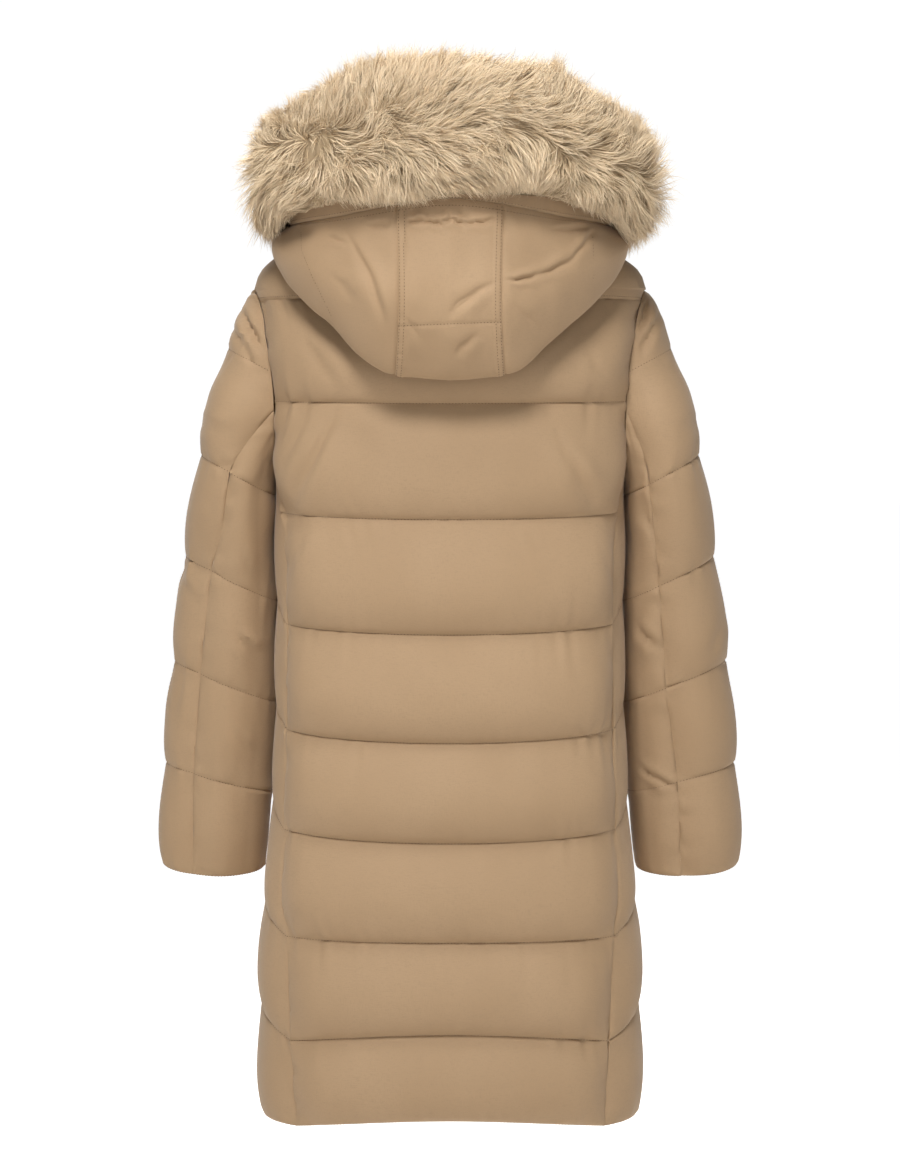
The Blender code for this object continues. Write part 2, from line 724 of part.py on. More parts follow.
def sleeve_outer(make, side, mirrored):
    rows = quilt_rows(4)[:-1] + [4.0, 4.16, 4.36, SLEEVE_SEAM_TOP, 4.77, 5.0]
    shares = list(rows)
    for step in (0.25, 0.5, 0.75, 1.0):
        share = 1.0 - (1.0 - step) ** 2
        rows.append(blend(5.0, SHOULDER, share))
        shares.append(5.0 + 0.999 * share)
    places = []
    for station in rows:
        if station <= SLEEVE_SEAM_TOP:
            back, front = sleeve_seam(side, station)
        elif station < SHOULDER:
            back, front = armhole_angle(station, 1), armhole_angle(station, -1)
        else:
            back, front = 0.0, 0.0
        places.append([(blend(front, back, c / SLEEVE_COLUMNS), station)
                       for c in range(SLEEVE_COLUMNS + 1)])
    grids = piece_grids(places, sleeve_point, sleeve_normal, sleeve_puff(places, shares),
                        ARMHOLE_GAP, ("start", "end"))
    outside, inside = grids
    for points in (outside, inside):
        away = (points[-2][SLEEVE_COLUMNS // 2] - points[-1][0]).normalized() * ARMHOLE_GAP
        points[-1] = [points[-1][0] + away for _ in points[-1]]
    make("sleeve_outer_" + side, grids, mirrored)


def sleeve_inner(make, side, mirrored):
    lower_rows = quilt_rows(4)
    places, rows = [], []
    for station in lower_rows:
        back, front = sleeve_seam(side, station)
        places.append([(blend(back, front + 2.0 * math.pi, c / SLEEVE_COLUMNS), station)
                       for c in range(SLEEVE_COLUMNS + 1)])
        rows.append(station)
    base = places[-1]
    ends = armhole_angle(SLEEVE_SEAM_TOP, 1), armhole_angle(SLEEVE_SEAM_TOP, -1) + 2.0 * math.pi
    top = []
    for c in range(SLEEVE_COLUMNS + 1):
        angle = blend(ends[0], ends[1], c / SLEEVE_COLUMNS)
        turned = angle if angle <= math.pi else angle - 2.0 * math.pi
        top.append((angle, armhole_station(turned)))
    for step in (0.16 / 0.55, 0.36 / 0.55, 1.0):
        places.append([(blend(low[0], high[0], step), blend(low[1], high[1], step))
                       for low, high in zip(base, top)])
        rows.append(4.0 + 0.999 * step)
    grids = piece_grids(places, sleeve_point, sleeve_normal, sleeve_puff(places, rows),
                        0.5 * SEAM_GAP, ("start", "end"))
    outside, inside = grids
    for points in (outside, inside):
        for c in range(SLEEVE_COLUMNS + 1):
            away = points[-2][c] - points[-1][c]
            points[-1][c] = points[-1][c] + away.normalized() * ARMHOLE_GAP
    make("sleeve_inner_" + side, grids, mirrored)


# ---------------------------------------------------------------- collar, hood, band and fur

def collar_point(angle, rise):
    """Point of the collar's middle surface, standing on the neckline."""
    foot = torso_point(angle, 0.0)
    shrink = 1.0 - 0.06 * rise
    return Vector((foot.x * shrink, foot.y * shrink, foot.z + SEAM_GAP + COLLAR_HEIGHT * rise))


def collar_normal(angle, rise):
    step = 0.01
    round_way = collar_point(angle + step, rise) - collar_point(angle - step, rise)
    return round_way.cross(Vector((0.0, 0.0, 1.0))).normalized()


def collar_puff(rise):
    return COLLAR_PUFF * math.sin(math.pi * rise) + COLLAR_EDGE_PUFF


def collar(make):
    edge = math.asin(ZIP_CHANNEL / TORSO[-1].front_depth)
    start, end = -0.5 * math.pi + edge, 1.5 * math.pi - edge
    columns, rises = 28, (0.0, 0.25, 0.5, 0.75, 1.0)
    places = [[(blend(start, end, c / columns), rise) for c in range(columns + 1)] for rise in rises]

    make("collar", piece_grids(places, collar_point, collar_normal,
                               lambda r, c: collar_puff(rises[r]), 0.0, ()))


def hood_curve(share, name):
    """One named line of the hood, read at a share of the way round to the front."""
    shares = [section.share for section in HOOD]
    values = [getattr(section, name) for section in HOOD]
    side = -1.0 if share < 0.0 else 1.0
    point = [smooth(shares, [value[axis] for value in values], abs(share)) for axis in range(3)]
    return Vector((side * point[0], point[1], point[2]))


def hood_seam(share):
    """Point of the hood's edge where it's sewn to the collar's outer face."""
    shares = [section.share for section in HOOD]
    angle = math.radians(smooth(shares, [section.seam_angle for section in HOOD], abs(share)))
    lift = collar_puff(HOOD_RISE) + HOOD_SEAM_GAP
    point = collar_point(angle, HOOD_RISE) + collar_normal(angle, HOOD_RISE) * lift
    if share < 0.0:
        point.x = -point.x
    return point


def hood_point(share, along):
    """Point of the hood's outer face: along is 0 at the collar's seam and 1 at the opening."""
    stops = (0.0, 0.28, 0.52, 0.76, 1.0)
    points = [hood_seam(share)]
    points += [hood_curve(share, name) for name in ("under", "fold", "swell", "rim")]
    lows = [points[0] - (points[1] - points[0])] + points
    highs = lows + [points[-1] + (points[-1] - points[-2])]
    index = max(i for i in range(4) if stops[i] <= along or i == 0)
    t = (along - stops[index]) / (stops[index + 1] - stops[index])
    before, start, end, after = highs[index:index + 4]
    pull = 0.5 * (end - before)
    push = 0.5 * (after - start)
    return (start * (2 * t ** 3 - 3 * t ** 2 + 1) + pull * (t ** 3 - 2 * t ** 2 + t)
            + end * (3 * t ** 2 - 2 * t ** 3) + push * (t ** 3 - t ** 2))


def hood_normal(share, along):
    step = 0.01
    across = hood_point(min(1.0, share + step), along) - hood_point(max(-1.0, share - step), along)
    up = hood_point(share, min(1.0, along + step)) - hood_point(share, max(0.0, along - step))
    return up.cross(across).normalized()


def hood_out(share):
    """Level direction away from the neck at the hood's opening."""
    behind = hood_curve(max(-1.0, share - 0.01), "rim")
    ahead = hood_curve(min(1.0, share + 0.01), "rim")
    return Vector((behind.y - ahead.y, ahead.x - behind.x, 0.0)).normalized()


def hood_panel(make, name, start, end, columns):
    rows = [r / HOOD_ROWS for r in range(HOOD_ROWS + 1)]
    places = [[(share, along) for share in hood_shares(start, end, columns)] for along in rows]
    surface = [[hood_point(*place) for place in row] for row in places]
    surface = pull_in_edges(surface, 0.5 * SEAM_GAP, ("start", "end"))
    normals = [[hood_normal(*place) for place in row] for row in places]
    normals[0] = [Vector((0.0, 0.0, -1.0)) for _ in places[0]]
    normals[-1] = [hood_out(place[0]) for place in places[-1]]
    inside = [[p - n * HOOD_WALL for p, n in zip(*pair)] for pair in zip(surface, normals)]
    make(name, (surface, inside))


def hood_shares(start, end, columns):
    return [blend(start, end, c / columns) for c in range(columns + 1)]


BAND_SHARES = (hood_shares(-1.0, -HOOD_SEAM, HOOD_SIDE_COLUMNS)
               + hood_shares(-HOOD_SEAM, HOOD_SEAM, HOOD_CENTRE_COLUMNS)[1:-1]
               + hood_shares(HOOD_SEAM, 1.0, HOOD_SIDE_COLUMNS))


def band_point(share, rise):
    """Point of the band's outer face above the hood's opening."""
    return hood_curve(share, "rim") + Vector((0.0, 0.0, SEAM_GAP + BAND_HEIGHT * rise))


def band(make):
    outside, inside = [], []
    for rise in (0.0, 0.5, 1.0):
        outside.append([band_point(share, rise) for share in BAND_SHARES])
        inside.append([p - hood_out(share) * HOOD_WALL for p, share in zip(outside[-1], BAND_SHARES)])
    make("hood_band", (outside, inside))


def fur_section(share, low, high, band_top):
    """Outward distances and levels round the fur's section, stepped over the band's top edge."""
    reach_out = column(FUR, "share", "reach_out", abs(share))
    reach_in = column(FUR, "share", "reach_in", abs(share))
    power = 2.0 / FUR_SQUARENESS
    points = []
    for k in range(FUR_SIDES + 1):
        turn = blend(FUR_START, FUR_END, k / FUR_SIDES)
        side = signed_power(math.cos(turn), power)
        side *= reach_out if side > 0.0 else reach_in
        level = 0.5 * (low + high) + 0.5 * (high - low) * signed_power(math.sin(turn), power)
        if side > 0.0:
            side = max(side, FUR_CLEARANCE)
        elif level < band_top:
            level = band_top
        points.append((side, level))
    return points + [(FUR_CLEARANCE, band_top)]


def fur(collection, parent, material):
    """The fur roll: a ring of rounded sections that stand on the band, closed at both ends."""
    shape = bmesh.new()
    rings = []
    for share in BAND_SHARES[1:-1]:
        foot = band_point(share, 1.0)
        out = hood_out(share)
        rim = hood_curve(share, "rim").z
        low = rim + column(FUR, "share", "bottom", abs(share))
        high = rim + column(FUR, "share", "top", abs(share))
        ring = []
        for side, level in fur_section(share, low, high, foot.z + SEAM_GAP):
            ring.append(shape.verts.new((foot + out * side).xy.to_3d() + Vector((0.0, 0.0, level))))
        rings.append(ring)
    for before, after in zip(rings, rings[1:]):
        for k in range(len(before)):
            n = (k + 1) % len(before)
            shape.faces.new((before[k], before[n], after[n], after[k]))
    shape.faces.new(rings[0])
    shape.faces.new(rings[-1])
    bmesh.ops.triangulate(shape, faces=shape.faces)
    bmesh.ops.recalc_face_normals(shape, faces=shape.faces)
    mesh = bpy.data.meshes.new("fur_trim")
    shape.to_mesh(mesh)
    shape.free()
    mesh.shade_smooth()
    place_object("fur_trim", mesh, material, collection, parent)


# ---------------------------------------------------------------- the zip

def tape_place(height):
    """Middle front point of the zip's line and the way out of it, up the front and the collar."""
    if height <= 0.0:
        return torso_point(-0.5 * math.pi, height), torso_normal(-0.5 * math.pi, height)
    rise = min(1.0, height / COLLAR_HEIGHT)
    return collar_point(-0.5 * math.pi, rise), Vector((0.0, -1.0, 0.0))


def zip_tape(make, name, mirrored):
    outside, inside = [], []
    heights = []
    for low, high in zip(TAPE_STOPS, TAPE_STOPS[1:]):
        heights += [blend(low.height, high.height, r / low.rows_above) for r in range(low.rows_above)]
    for height in heights + [COLLAR_HEIGHT]:
        point, out = tape_place(height)
        front = point - out * (WALL + SEAM_GAP + TAPE_SETBACK)
        behind = front - out * TAPE_THICKNESS
        across = (0.5 * SEAM_GAP, TAPE_WIDTH)
        outside.append([front + Vector((x, 0.0, 0.0)) for x in across])
        inside.append([behind + Vector((x, 0.0, 0.0)) for x in across])
    make(name, (outside, inside), mirrored)


def hidden_tool(item, tools):
    """Puts a shape that cuts or joins another one among the tools, which aren't pieces."""
    for owner in list(item.users_collection):
        owner.objects.unlink(item)
    tools.objects.link(item)
    item.hide_render = True
    item.display_type = "WIRE"
    return item


def box(name, size, centre):
    bpy.ops.mesh.primitive_cube_add(size=1.0, location=centre)
    item = bpy.context.object
    item.name = name
    item.data.transform(Matrix.Diagonal((*size, 1.0)))
    return item


def rod(name, radius, length, centre, sides):
    """Cylinder along X."""
    bpy.ops.mesh.primitive_cylinder_add(radius=radius, depth=length, vertices=sides,
                                        location=centre, rotation=(0.0, 0.5 * math.pi, 0.0))
    item = bpy.context.object
    item.name = name
    return item


def combine(item, tool, operation):
    modifier = item.modifiers.new(operation.title(), "BOOLEAN")
    modifier.operation = operation
    modifier.object = tool


def adopt(item, collection, parent, material):
    for owner in list(item.users_collection):
        owner.objects.unlink(item)
    collection.objects.link(item)
    item.parent = parent
    item.data.materials.append(material)


def slider_and_pull(collection, tools, parent):
    """The zip's slider at the collar, and its pull tab, which turns on the slider's pin."""
    point, _ = tape_place(SLIDER_RISE * COLLAR_HEIGHT)
    tape_front = point.y + WALL + SEAM_GAP + TAPE_SETBACK
    body_back = tape_front - SLIDER_CLEARANCE
    body_front = body_back - SLIDER_THICKNESS
    pin = Vector((0.0, body_front - 0.0006 - EYE_RADIUS, point.z))
    metal = make_material("nickel", NICKEL, 0.35, 1.0)

    slider = box("zip_slider", (SLIDER_WIDTH, SLIDER_THICKNESS, SLIDER_HEIGHT),
                 (0.0, 0.5 * (body_back + body_front), point.z))
    bevel = slider.modifiers.new("Bevel", "BEVEL")
    bevel.width = 0.0007
    bevel.segments = 2
    ear_inside = 0.5 * PULL_WIDTH + 0.0004
    for side in (-1.0, 1.0):
        depth = body_front - pin.y + EAR_REACH * 0.5
        centre = (side * (ear_inside + 0.5 * EAR_WIDTH), body_front - 0.5 * depth + 0.0005, pin.z)
        ear = box("ear_tool", (EAR_WIDTH, depth + 0.0005, 2.4 * EYE_RADIUS), centre)
        combine(slider, hidden_tool(ear, tools), "UNION")
    pin_rod = rod("pin_tool", PIN_RADIUS, 2.0 * ear_inside + EAR_WIDTH, pin, 16)
    combine(slider, hidden_tool(pin_rod, tools), "UNION")
    adopt(slider, collection, parent, metal)

    axis = bpy.data.objects.new("zip_pull_axis", None)
    axis.location = pin
    axis.parent = parent
    collection.objects.link(axis)
    pull = box("zip_pull", (PULL_WIDTH, PULL_THICKNESS, PULL_LENGTH), (0.0, 0.0, 0.0))
    pull.data.transform(Matrix.Translation((0.0, 0.0, -0.5 * PULL_LENGTH)))
    bevel = pull.modifiers.new("Bevel", "BEVEL")
    bevel.width = 0.0005
    bevel.segments = 2
    eye = rod("eye_tool", EYE_RADIUS, PULL_WIDTH, (0.0, 0.0, 0.0), 24)
    hole = rod("hole_tool", EYE_HOLE, 2.0 * PULL_WIDTH, (0.0, 0.0, 0.0), 20)
    for tool, operation in ((eye, "UNION"), (hole, "DIFFERENCE")):
        combine(pull, hidden_tool(tool, tools), operation)
        tool.parent = axis
    adopt(pull, collection, axis, metal)


# ---------------------------------------------------------------- assembly

def clear_scene():
    for item in list(bpy.data.objects):
        bpy.data.objects.remove(item, do_unlink=True)


def main():
    clear_scene()
    collection = bpy.data.collections.new("long_puffer_coat")
    bpy.context.scene.collection.children.link(collection)
    neck = bpy.data.objects.new("neck_base", None)
    collection.objects.link(neck)

    def maker(colour_name, colour, roughness):
        def make(name, grids, mirrored=False):
            mesh = wall_mesh(name, grids[0], grids[1], mirrored)
            material = make_material(colour_name + "_" + name, colour, roughness)
            place_object(name, mesh, material, collection, neck)
        return make

    cloth = maker("shell_cloth", SAND, 0.8)
    tape = maker("zip_tape_cloth", TAPE_SAND, 0.85)
    back_panel(cloth)
    yoke(cloth)
    for side, mirrored in (("left", False), ("right", True)):
        side_panel(cloth, "side_" + side, mirrored)
        front_panel(cloth, "front_" + side, mirrored)
        sleeve_outer(cloth, side, mirrored)
        sleeve_inner(cloth, side, mirrored)
        zip_tape(tape, "zip_tape_" + side, mirrored)
    collar(cloth)
    hood_panel(cloth, "hood_centre", -HOOD_SEAM, HOOD_SEAM, HOOD_CENTRE_COLUMNS)
    hood_panel(cloth, "hood_left", HOOD_SEAM, 1.0, HOOD_SIDE_COLUMNS)
    hood_panel(cloth, "hood_right", -1.0, -HOOD_SEAM, HOOD_SIDE_COLUMNS)
    band(cloth)
    fur(collection, neck, make_material("faux_fur", FUR_SAND, 0.95))
    tools = bpy.data.collections.new("tools")
    bpy.context.scene.collection.children.link(tools)
    slider_and_pull(collection, tools, neck)


main()
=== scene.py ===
"""Looks of the long hooded puffer coat, built round its CAD frame.

Every cloth piece is a fine shell on the same surfaces as the CAD walls: torso(angle, height),
sleeve(angle, station), collar(angle, rise) and hood(share, along). Quilting, puckers, seam grooves
and listed creases are raised on it. The fur is made of tapered strands in locks.
Lengths are in metres, and in millimetres in the tables. The coat's back faces +Y, its left is +X.
"""

import math
from collections import namedtuple

import bmesh
import bpy
import numpy as np
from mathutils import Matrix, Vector

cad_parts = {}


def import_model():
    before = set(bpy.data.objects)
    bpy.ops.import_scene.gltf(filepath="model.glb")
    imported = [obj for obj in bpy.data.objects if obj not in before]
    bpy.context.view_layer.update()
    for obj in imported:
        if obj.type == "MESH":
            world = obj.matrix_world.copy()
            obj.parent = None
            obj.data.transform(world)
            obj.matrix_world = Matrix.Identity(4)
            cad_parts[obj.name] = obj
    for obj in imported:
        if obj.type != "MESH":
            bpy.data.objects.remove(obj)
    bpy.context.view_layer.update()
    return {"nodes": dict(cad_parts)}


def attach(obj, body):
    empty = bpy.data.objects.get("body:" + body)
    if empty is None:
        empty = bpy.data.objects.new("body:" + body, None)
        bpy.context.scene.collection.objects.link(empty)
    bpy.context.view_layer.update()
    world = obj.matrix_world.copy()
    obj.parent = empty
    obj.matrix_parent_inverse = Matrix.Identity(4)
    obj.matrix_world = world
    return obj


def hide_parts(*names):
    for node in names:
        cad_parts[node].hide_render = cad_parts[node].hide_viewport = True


def rows_of(kind, plain, *rows):
    """Rows of a table. All columns but those named plain are given in millimetres."""
    return tuple(kind(*(value if name in plain else np.asarray(value) / 1000.0
                        for name, value in zip(kind._fields, row))) for row in rows)


# ---------------------------------------------------------------- the sizes of the CAD solids

SEAM_GAP = 0.0003
WALL = 0.004
HOOD_WALL = 0.003
ZIP_CHANNEL = 0.0085
BACK_PUFF = 0.014
FRONT_PUFF = 0.014
SIDE_PUFF_UNDER_ARM = 0.004
SIDE_PUFF_BELOW = 0.006
UNDER_ARM_SHARE = 0.2
UNDER_ARM_ANGLE = math.radians(-50.0)
UNDER_ARM_LEVELS = (-0.730, -0.660)
SLEEVE_PUFF = 0.010
SLEEVE_INSIDE_PUFF = 0.002
YOKE_PUFF = 0.005
SEAM_RISE = 0.045
YOKE_SIDE_RISE = 0.020
VENT_HEIGHT = 0.155
VENT_GAP = 0.005
NECK_DROP = 0.040
NECK_DROP_START = -0.120
YOKE_SEAM = -0.070
SIDE_SEAM_ANGLE = math.radians(-10.0)
SHOULDER_SEAM_ANGLE = math.radians(-32.0)
COLLAR_HEIGHT = 0.055
COLLAR_PUFF = 0.003
COLLAR_EDGE_PUFF = 0.0005

Ring = namedtuple("Ring", "height half_width back_depth front_depth squareness")
TORSO = rows_of(
    Ring, ("squareness",),
    (-940, 199, 122, 120, 2.8), (-830, 200, 124, 122, 2.8), (-740, 198, 124, 122, 2.8),
    (-640, 190, 121, 120, 2.8), (-520, 184, 118, 118, 2.8), (-400, 183, 117, 118, 2.8),
    (-280, 184, 118, 120, 2.7), (-180, 198, 118, 120, 2.6), (-110, 207, 115, 116, 2.5),
    (-70, 207, 112, 109, 2.4), (-45, 201, 106, 103, 2.4), (-30, 187, 100, 96, 2.3),
    (-18, 161, 93, 90, 2.2), (-8, 122, 83, 82, 2.1), (0, 80, 72, 72, 2.0)
)

Line = namedtuple("Line", "back_centre back_seam side_seam front_edge")
LINES = rows_of(
    Line, (),
    (-920, -931, -929, -926), (-831, -843, -789, -785), (-736, -735, -680, -677),
    (-634, -625, -570, -568), (-531, -521, -465, -463), (-419, -411, -356, -354),
    (-300, -294, -239, -237), (-180, -177, -122, -120)
)

SeamPoint = namedtuple("SeamPoint", "height half_width")
BACK_SEAM = rows_of(
    SeamPoint, (),
    (-940, 160), (-840, 166), (-735, 171), (-690, 176), (-560, 172), (-420, 171), (-350, 171),
    (-300, 176), (-250, 183), (-215, 189)
)

Cuff = namedtuple("Cuff", "station outer_x outer_z inner_x inner_z half_depth centre_y")
SLEEVE = rows_of(
    Cuff, ("station",),
    (0.0, 309, -674, 203, -680, 47, -62), (1.0, 304, -567, 195, -597, 54, -58),
    (2.0, 294, -456, 188, -500, 58, -50), (3.0, 280, -343, 188, -390, 62, -36),
    (3.7, 268, -266, 191, -311, 65, -18), (4.0, 262, -234, 190, -276, 66, -12),
    (5.0, 236, -120, 140, -172, 62, -2), (5.5, 217, -70, 125, -120, 50, 0),
    (6.0, 190, -46, 120, -90, 36, 0)
)
SLEEVE_SQUARENESS = 2.2

# Angles of the sleeves' long seams, in degrees. They follow the photograph, up to about 12 mm from
# the seams between the solids.
SleeveSeam = namedtuple("SleeveSeam", "station left_back right_back front")
SLEEVE_SEAMS = (
    SleeveSeam(0.0, 70.0, 97.0, -80.0), SleeveSeam(1.0, 64.0, 95.0, -80.0),
    SleeveSeam(2.1, 63.0, 100.0, -80.0), SleeveSeam(3.0, 67.0, 103.0, -80.0),
    SleeveSeam(3.5, 79.0, 109.0, -81.0), SleeveSeam(4.0, 81.0, 115.0, -82.0),
)
SLEEVE_SEAM_TOP = 4.70

Section = namedtuple("Section", "share seam_angle under fold swell rim")
HOOD = rows_of(
    Section, ("share", "seam_angle"),
    (0.0, 90.0, (0, 137, -60), (0, 160, -157), (0, 200, -85), (0, 186, 10)),
    (0.2, 62.5, (52, 136, -60), (56, 159, -151), (52, 197, -83), (54, 183, 10)),
    (0.45, 32.3, (108, 122, -32), (122, 138, -100), (132, 162, -50), (124, 154, 8)),
    (0.65, -2.6, (138, 55, 6), (172, 82, -40), (185, 83, -14), (168, 74, 6)),
    (0.85, -37.6, (120, -48, 2), (166, -20, 0), (178, -18, 12), (160, -24, 16)),
    (1.0, -79.9, (34, -108, -30), (50, -124, -24), (56, -124, -8), (46, -112, 4))
)
HOOD_STOPS = (0.0, 0.28, 0.52, 0.76, 1.0)
HOOD_RISE = 0.2
HOOD_SEAM_GAP = 0.0012
HOOD_SEAM = 0.20
BAND_HEIGHT = 0.020

FurSection = namedtuple("FurSection", "share bottom top reach_out reach_in")
FUR = rows_of(
    FurSection, ("share",),
    (0.0, 10, 158, 46, 40), (0.3, 8, 150, 48, 42), (0.5, 4, 132, 52, 44), (0.65, 3, 118, 54, 44),
    (0.8, 3, 106, 48, 36), (0.9, 3, 92, 36, 14), (0.97, 3, 80, 26, 8)
)
FUR_SQUARENESS = 2.6

TAPE_SETBACK = 0.0015

# ---------------------------------------------------------------- looks only

SAG = 0.72                  # below 1 the puffs hang: they are fullest below their middle
SLEEVE_FULLNESS = 0.45      # the share of a sleeve's puff that stays between its lines
PUCKER = 0.0040             # height of the puckers beside the stitches
SIDE_PUCKER = 0.0026
RIM_LIFT = 0.016            # how far the hood's seam with its band bows up at the back's centre
RIM_LIFT_END = 0.5          # the share of the way round at which that bow ends
CLOTH_GAP = 0.00005         # between cloth pieces that are sewn to each other
CUFF_BOW = 0.09             # how far below a cuff's ends its back edge hangs, in stations
WELT_WIDTH = 0.0075         # the flat strip beside each of the hood's two long seams
WELT_RISE = 0.0009
# Depth and width of the grooves that the stitches and seams draw into the cloth.
STITCH_GROOVE = (0.0006, 0.0016)
SEAM_GROOVE = (0.0006, 0.0018)
YOKE_GROOVE = (0.0010, 0.0024)
COLLAR_GROOVE = (0.0006, 0.0012)
COLLAR_STITCH = 0.005       # how far from the collar's edges its stitches run
HOOD_SEAM_GROOVE = (0.0011, 0.0016)
HOOD_RIM_GROOVE = (0.0008, 0.0020)
CROSS_GROOVE = (0.0007, 0.0018)
BAND_GROOVE = (0.0010, 0.10)        # its width is a share of the band's height
# Fuller places on the sleeve's inside, beside the body: station, reach in stations and height.
UNDER_ARM_FILL = ((3.85, 0.22, 0.0035), (3.0, 0.12, 0.0020), (1.0, 0.10, 0.0015))
STITCH_PITCH = 0.0034
STITCH_LENGTH = 0.0018
STITCH_WIDTH = 0.0009
TOOTH_PITCH = 0.0022
TOOTH_HALF = (0.0021, 0.0009, 0.00042)      # half a tooth's width, depth and height
ZIP_FOOT = -0.900
ROWS_PER_PUFF = 24
SLEEVE_ROWS_PER_PUFF = 22
BACK_COLUMNS = 160
SIDE_COLUMNS = 36
FRONT_COLUMNS = 80
SLEEVE_COLUMNS = 80
HOOD_CENTRE_COLUMNS = 72
HOOD_SIDE_COLUMNS = 124
COLLAR_COLUMNS = 240
COLLAR_ROWS = 32
COLLAR_STITCH_ROWS = (3, 29)
BAND_COLUMNS = 480
BAND_ROWS = 12
HOOD_ROWS = (24, 152)       # under the collar's edge and over it
HOOD_HIDDEN = 0.44          # how far along the hood that edge is
SHOULDER_ROWS = 24          # of a front panel, along its shoulder seam
CORE_SIDES = 60             # of the fur's roll
CORE_RINGS = 240
CORE_END = 0.975
FACES_PER_RIB = 4           # fine faces of a shell's outside for each face of its plain inside
TORSO_STEP = (0.002, 0.001)     # the steps that normals are taken over
SLEEVE_STEP = (0.004, 0.004)
HOOD_STEP = 0.004

FUR_STRANDS = 24800         # in each of the four pieces
STRANDS_PER_LOCK = 10
FUR_DEPTH = 0.238           # strands that stand further back than this are pressed in
FUR_PRESS = 0.011           # the most that they still pass it by
FUR_END = 0.90              # the share of the way round at which the roll starts to close
FUR_SPLIT = 0.42            # the share at which a side's piece and its back piece meet
FUR_REACH = 0.968           # the share of the way round at which the last roots stand
LOCK_SPREAD = (0.0050, 0.026)       # of a lock's strands, along the roll and round it
LOCK_PULL = (0.0, 0.9, 2.0, 2.7)    # how far a strand's points are drawn to its lock's middle
STRAND_STEPS = (0.34, 0.34, 0.32)   # the lengths of a strand's three steps
STRAND_LIFTS = (0.62, 0.24, 0.02)   # and how far each of them stands up
STRAND_WIDTHS = (0.00080, 0.00072, 0.00048)
STRAND_LENGTHS = (0.032, 0.037)     # low on the roll and at its top
STRAND_TONES = (0.60, 0.40)         # how much of its tone a strand has from its lock, and alone
LOCK_LEAN = 0.16                    # how far locks, and then strands, stray from the combed way
STRAND_LEAN = 0.08
CLEFT_STRAY = 0.65                  # how far the strands in a cleft leave the combed way

SHELL = (0.404, 0.273, 0.159, 1.0)
SHELL_SHADE = (0.370, 0.246, 0.139, 1.0)
THREAD = (0.140, 0.085, 0.045, 1.0)
FUR_ROOT = (0.470, 0.345, 0.205, 1.0)
FUR_TIP = (0.860, 0.715, 0.515, 1.0)
TAPE = (0.300, 0.215, 0.130, 1.0)
METAL = (0.62, 0.60, 0.57, 1.0)
WHITE = (1.0, 1.0, 1.0, 1.0)
WEAVE_SCALE = 1500.0
FUR_WARM = (0.680, 0.525, 0.335, 1.0)
FUR_PALE = (0.790, 0.635, 0.435, 1.0)

FLOOR_LEVEL = -1.30
FLOOR_REACH = 60.0
FLOOR_SIDES = 64
FLOOR_COLOUR = (0.80, 0.76, 0.71, 1.0)
# Brightness by a place or a direction: where it starts and ends, and how bright it is there. The
# world is pale at the horizon, palest behind the coat, and dim overhead.
FLOOR_GLOW = (0.2, -1.25, 0.38, 0.97)
WORLD_GLOW = (0.145, 0.26, 1.02, 0.06)
WORLD_SIDES = (-0.90, -0.97, 0.52, 1.0)
Lamp = namedtuple("Lamp", "name place aim size power")
LAMPS = (
    Lamp("key", (0.35, 2.0, 1.75), (0.0, 0.0, -0.20), 0.8, 66.0),
    Lamp("top", (0.05, 0.95, 2.3), (0.0, 0.1, -0.30), 0.8, 30.0),
    Lamp("fill", (-0.4, 3.3, 0.6), (0.0, 0.0, -0.3), 1.8, 14.0),
    Lamp("front_fill", (0.3, -2.4, 2.2), (0.0, 0.0, -0.4), 1.4, 85.0),
)
CAMERA_PLACE = (0.0, 3.3, -0.228)
SENSOR_WIDTH = 36.0
LENS = 123.36
LENS_SHIFT = -0.1533

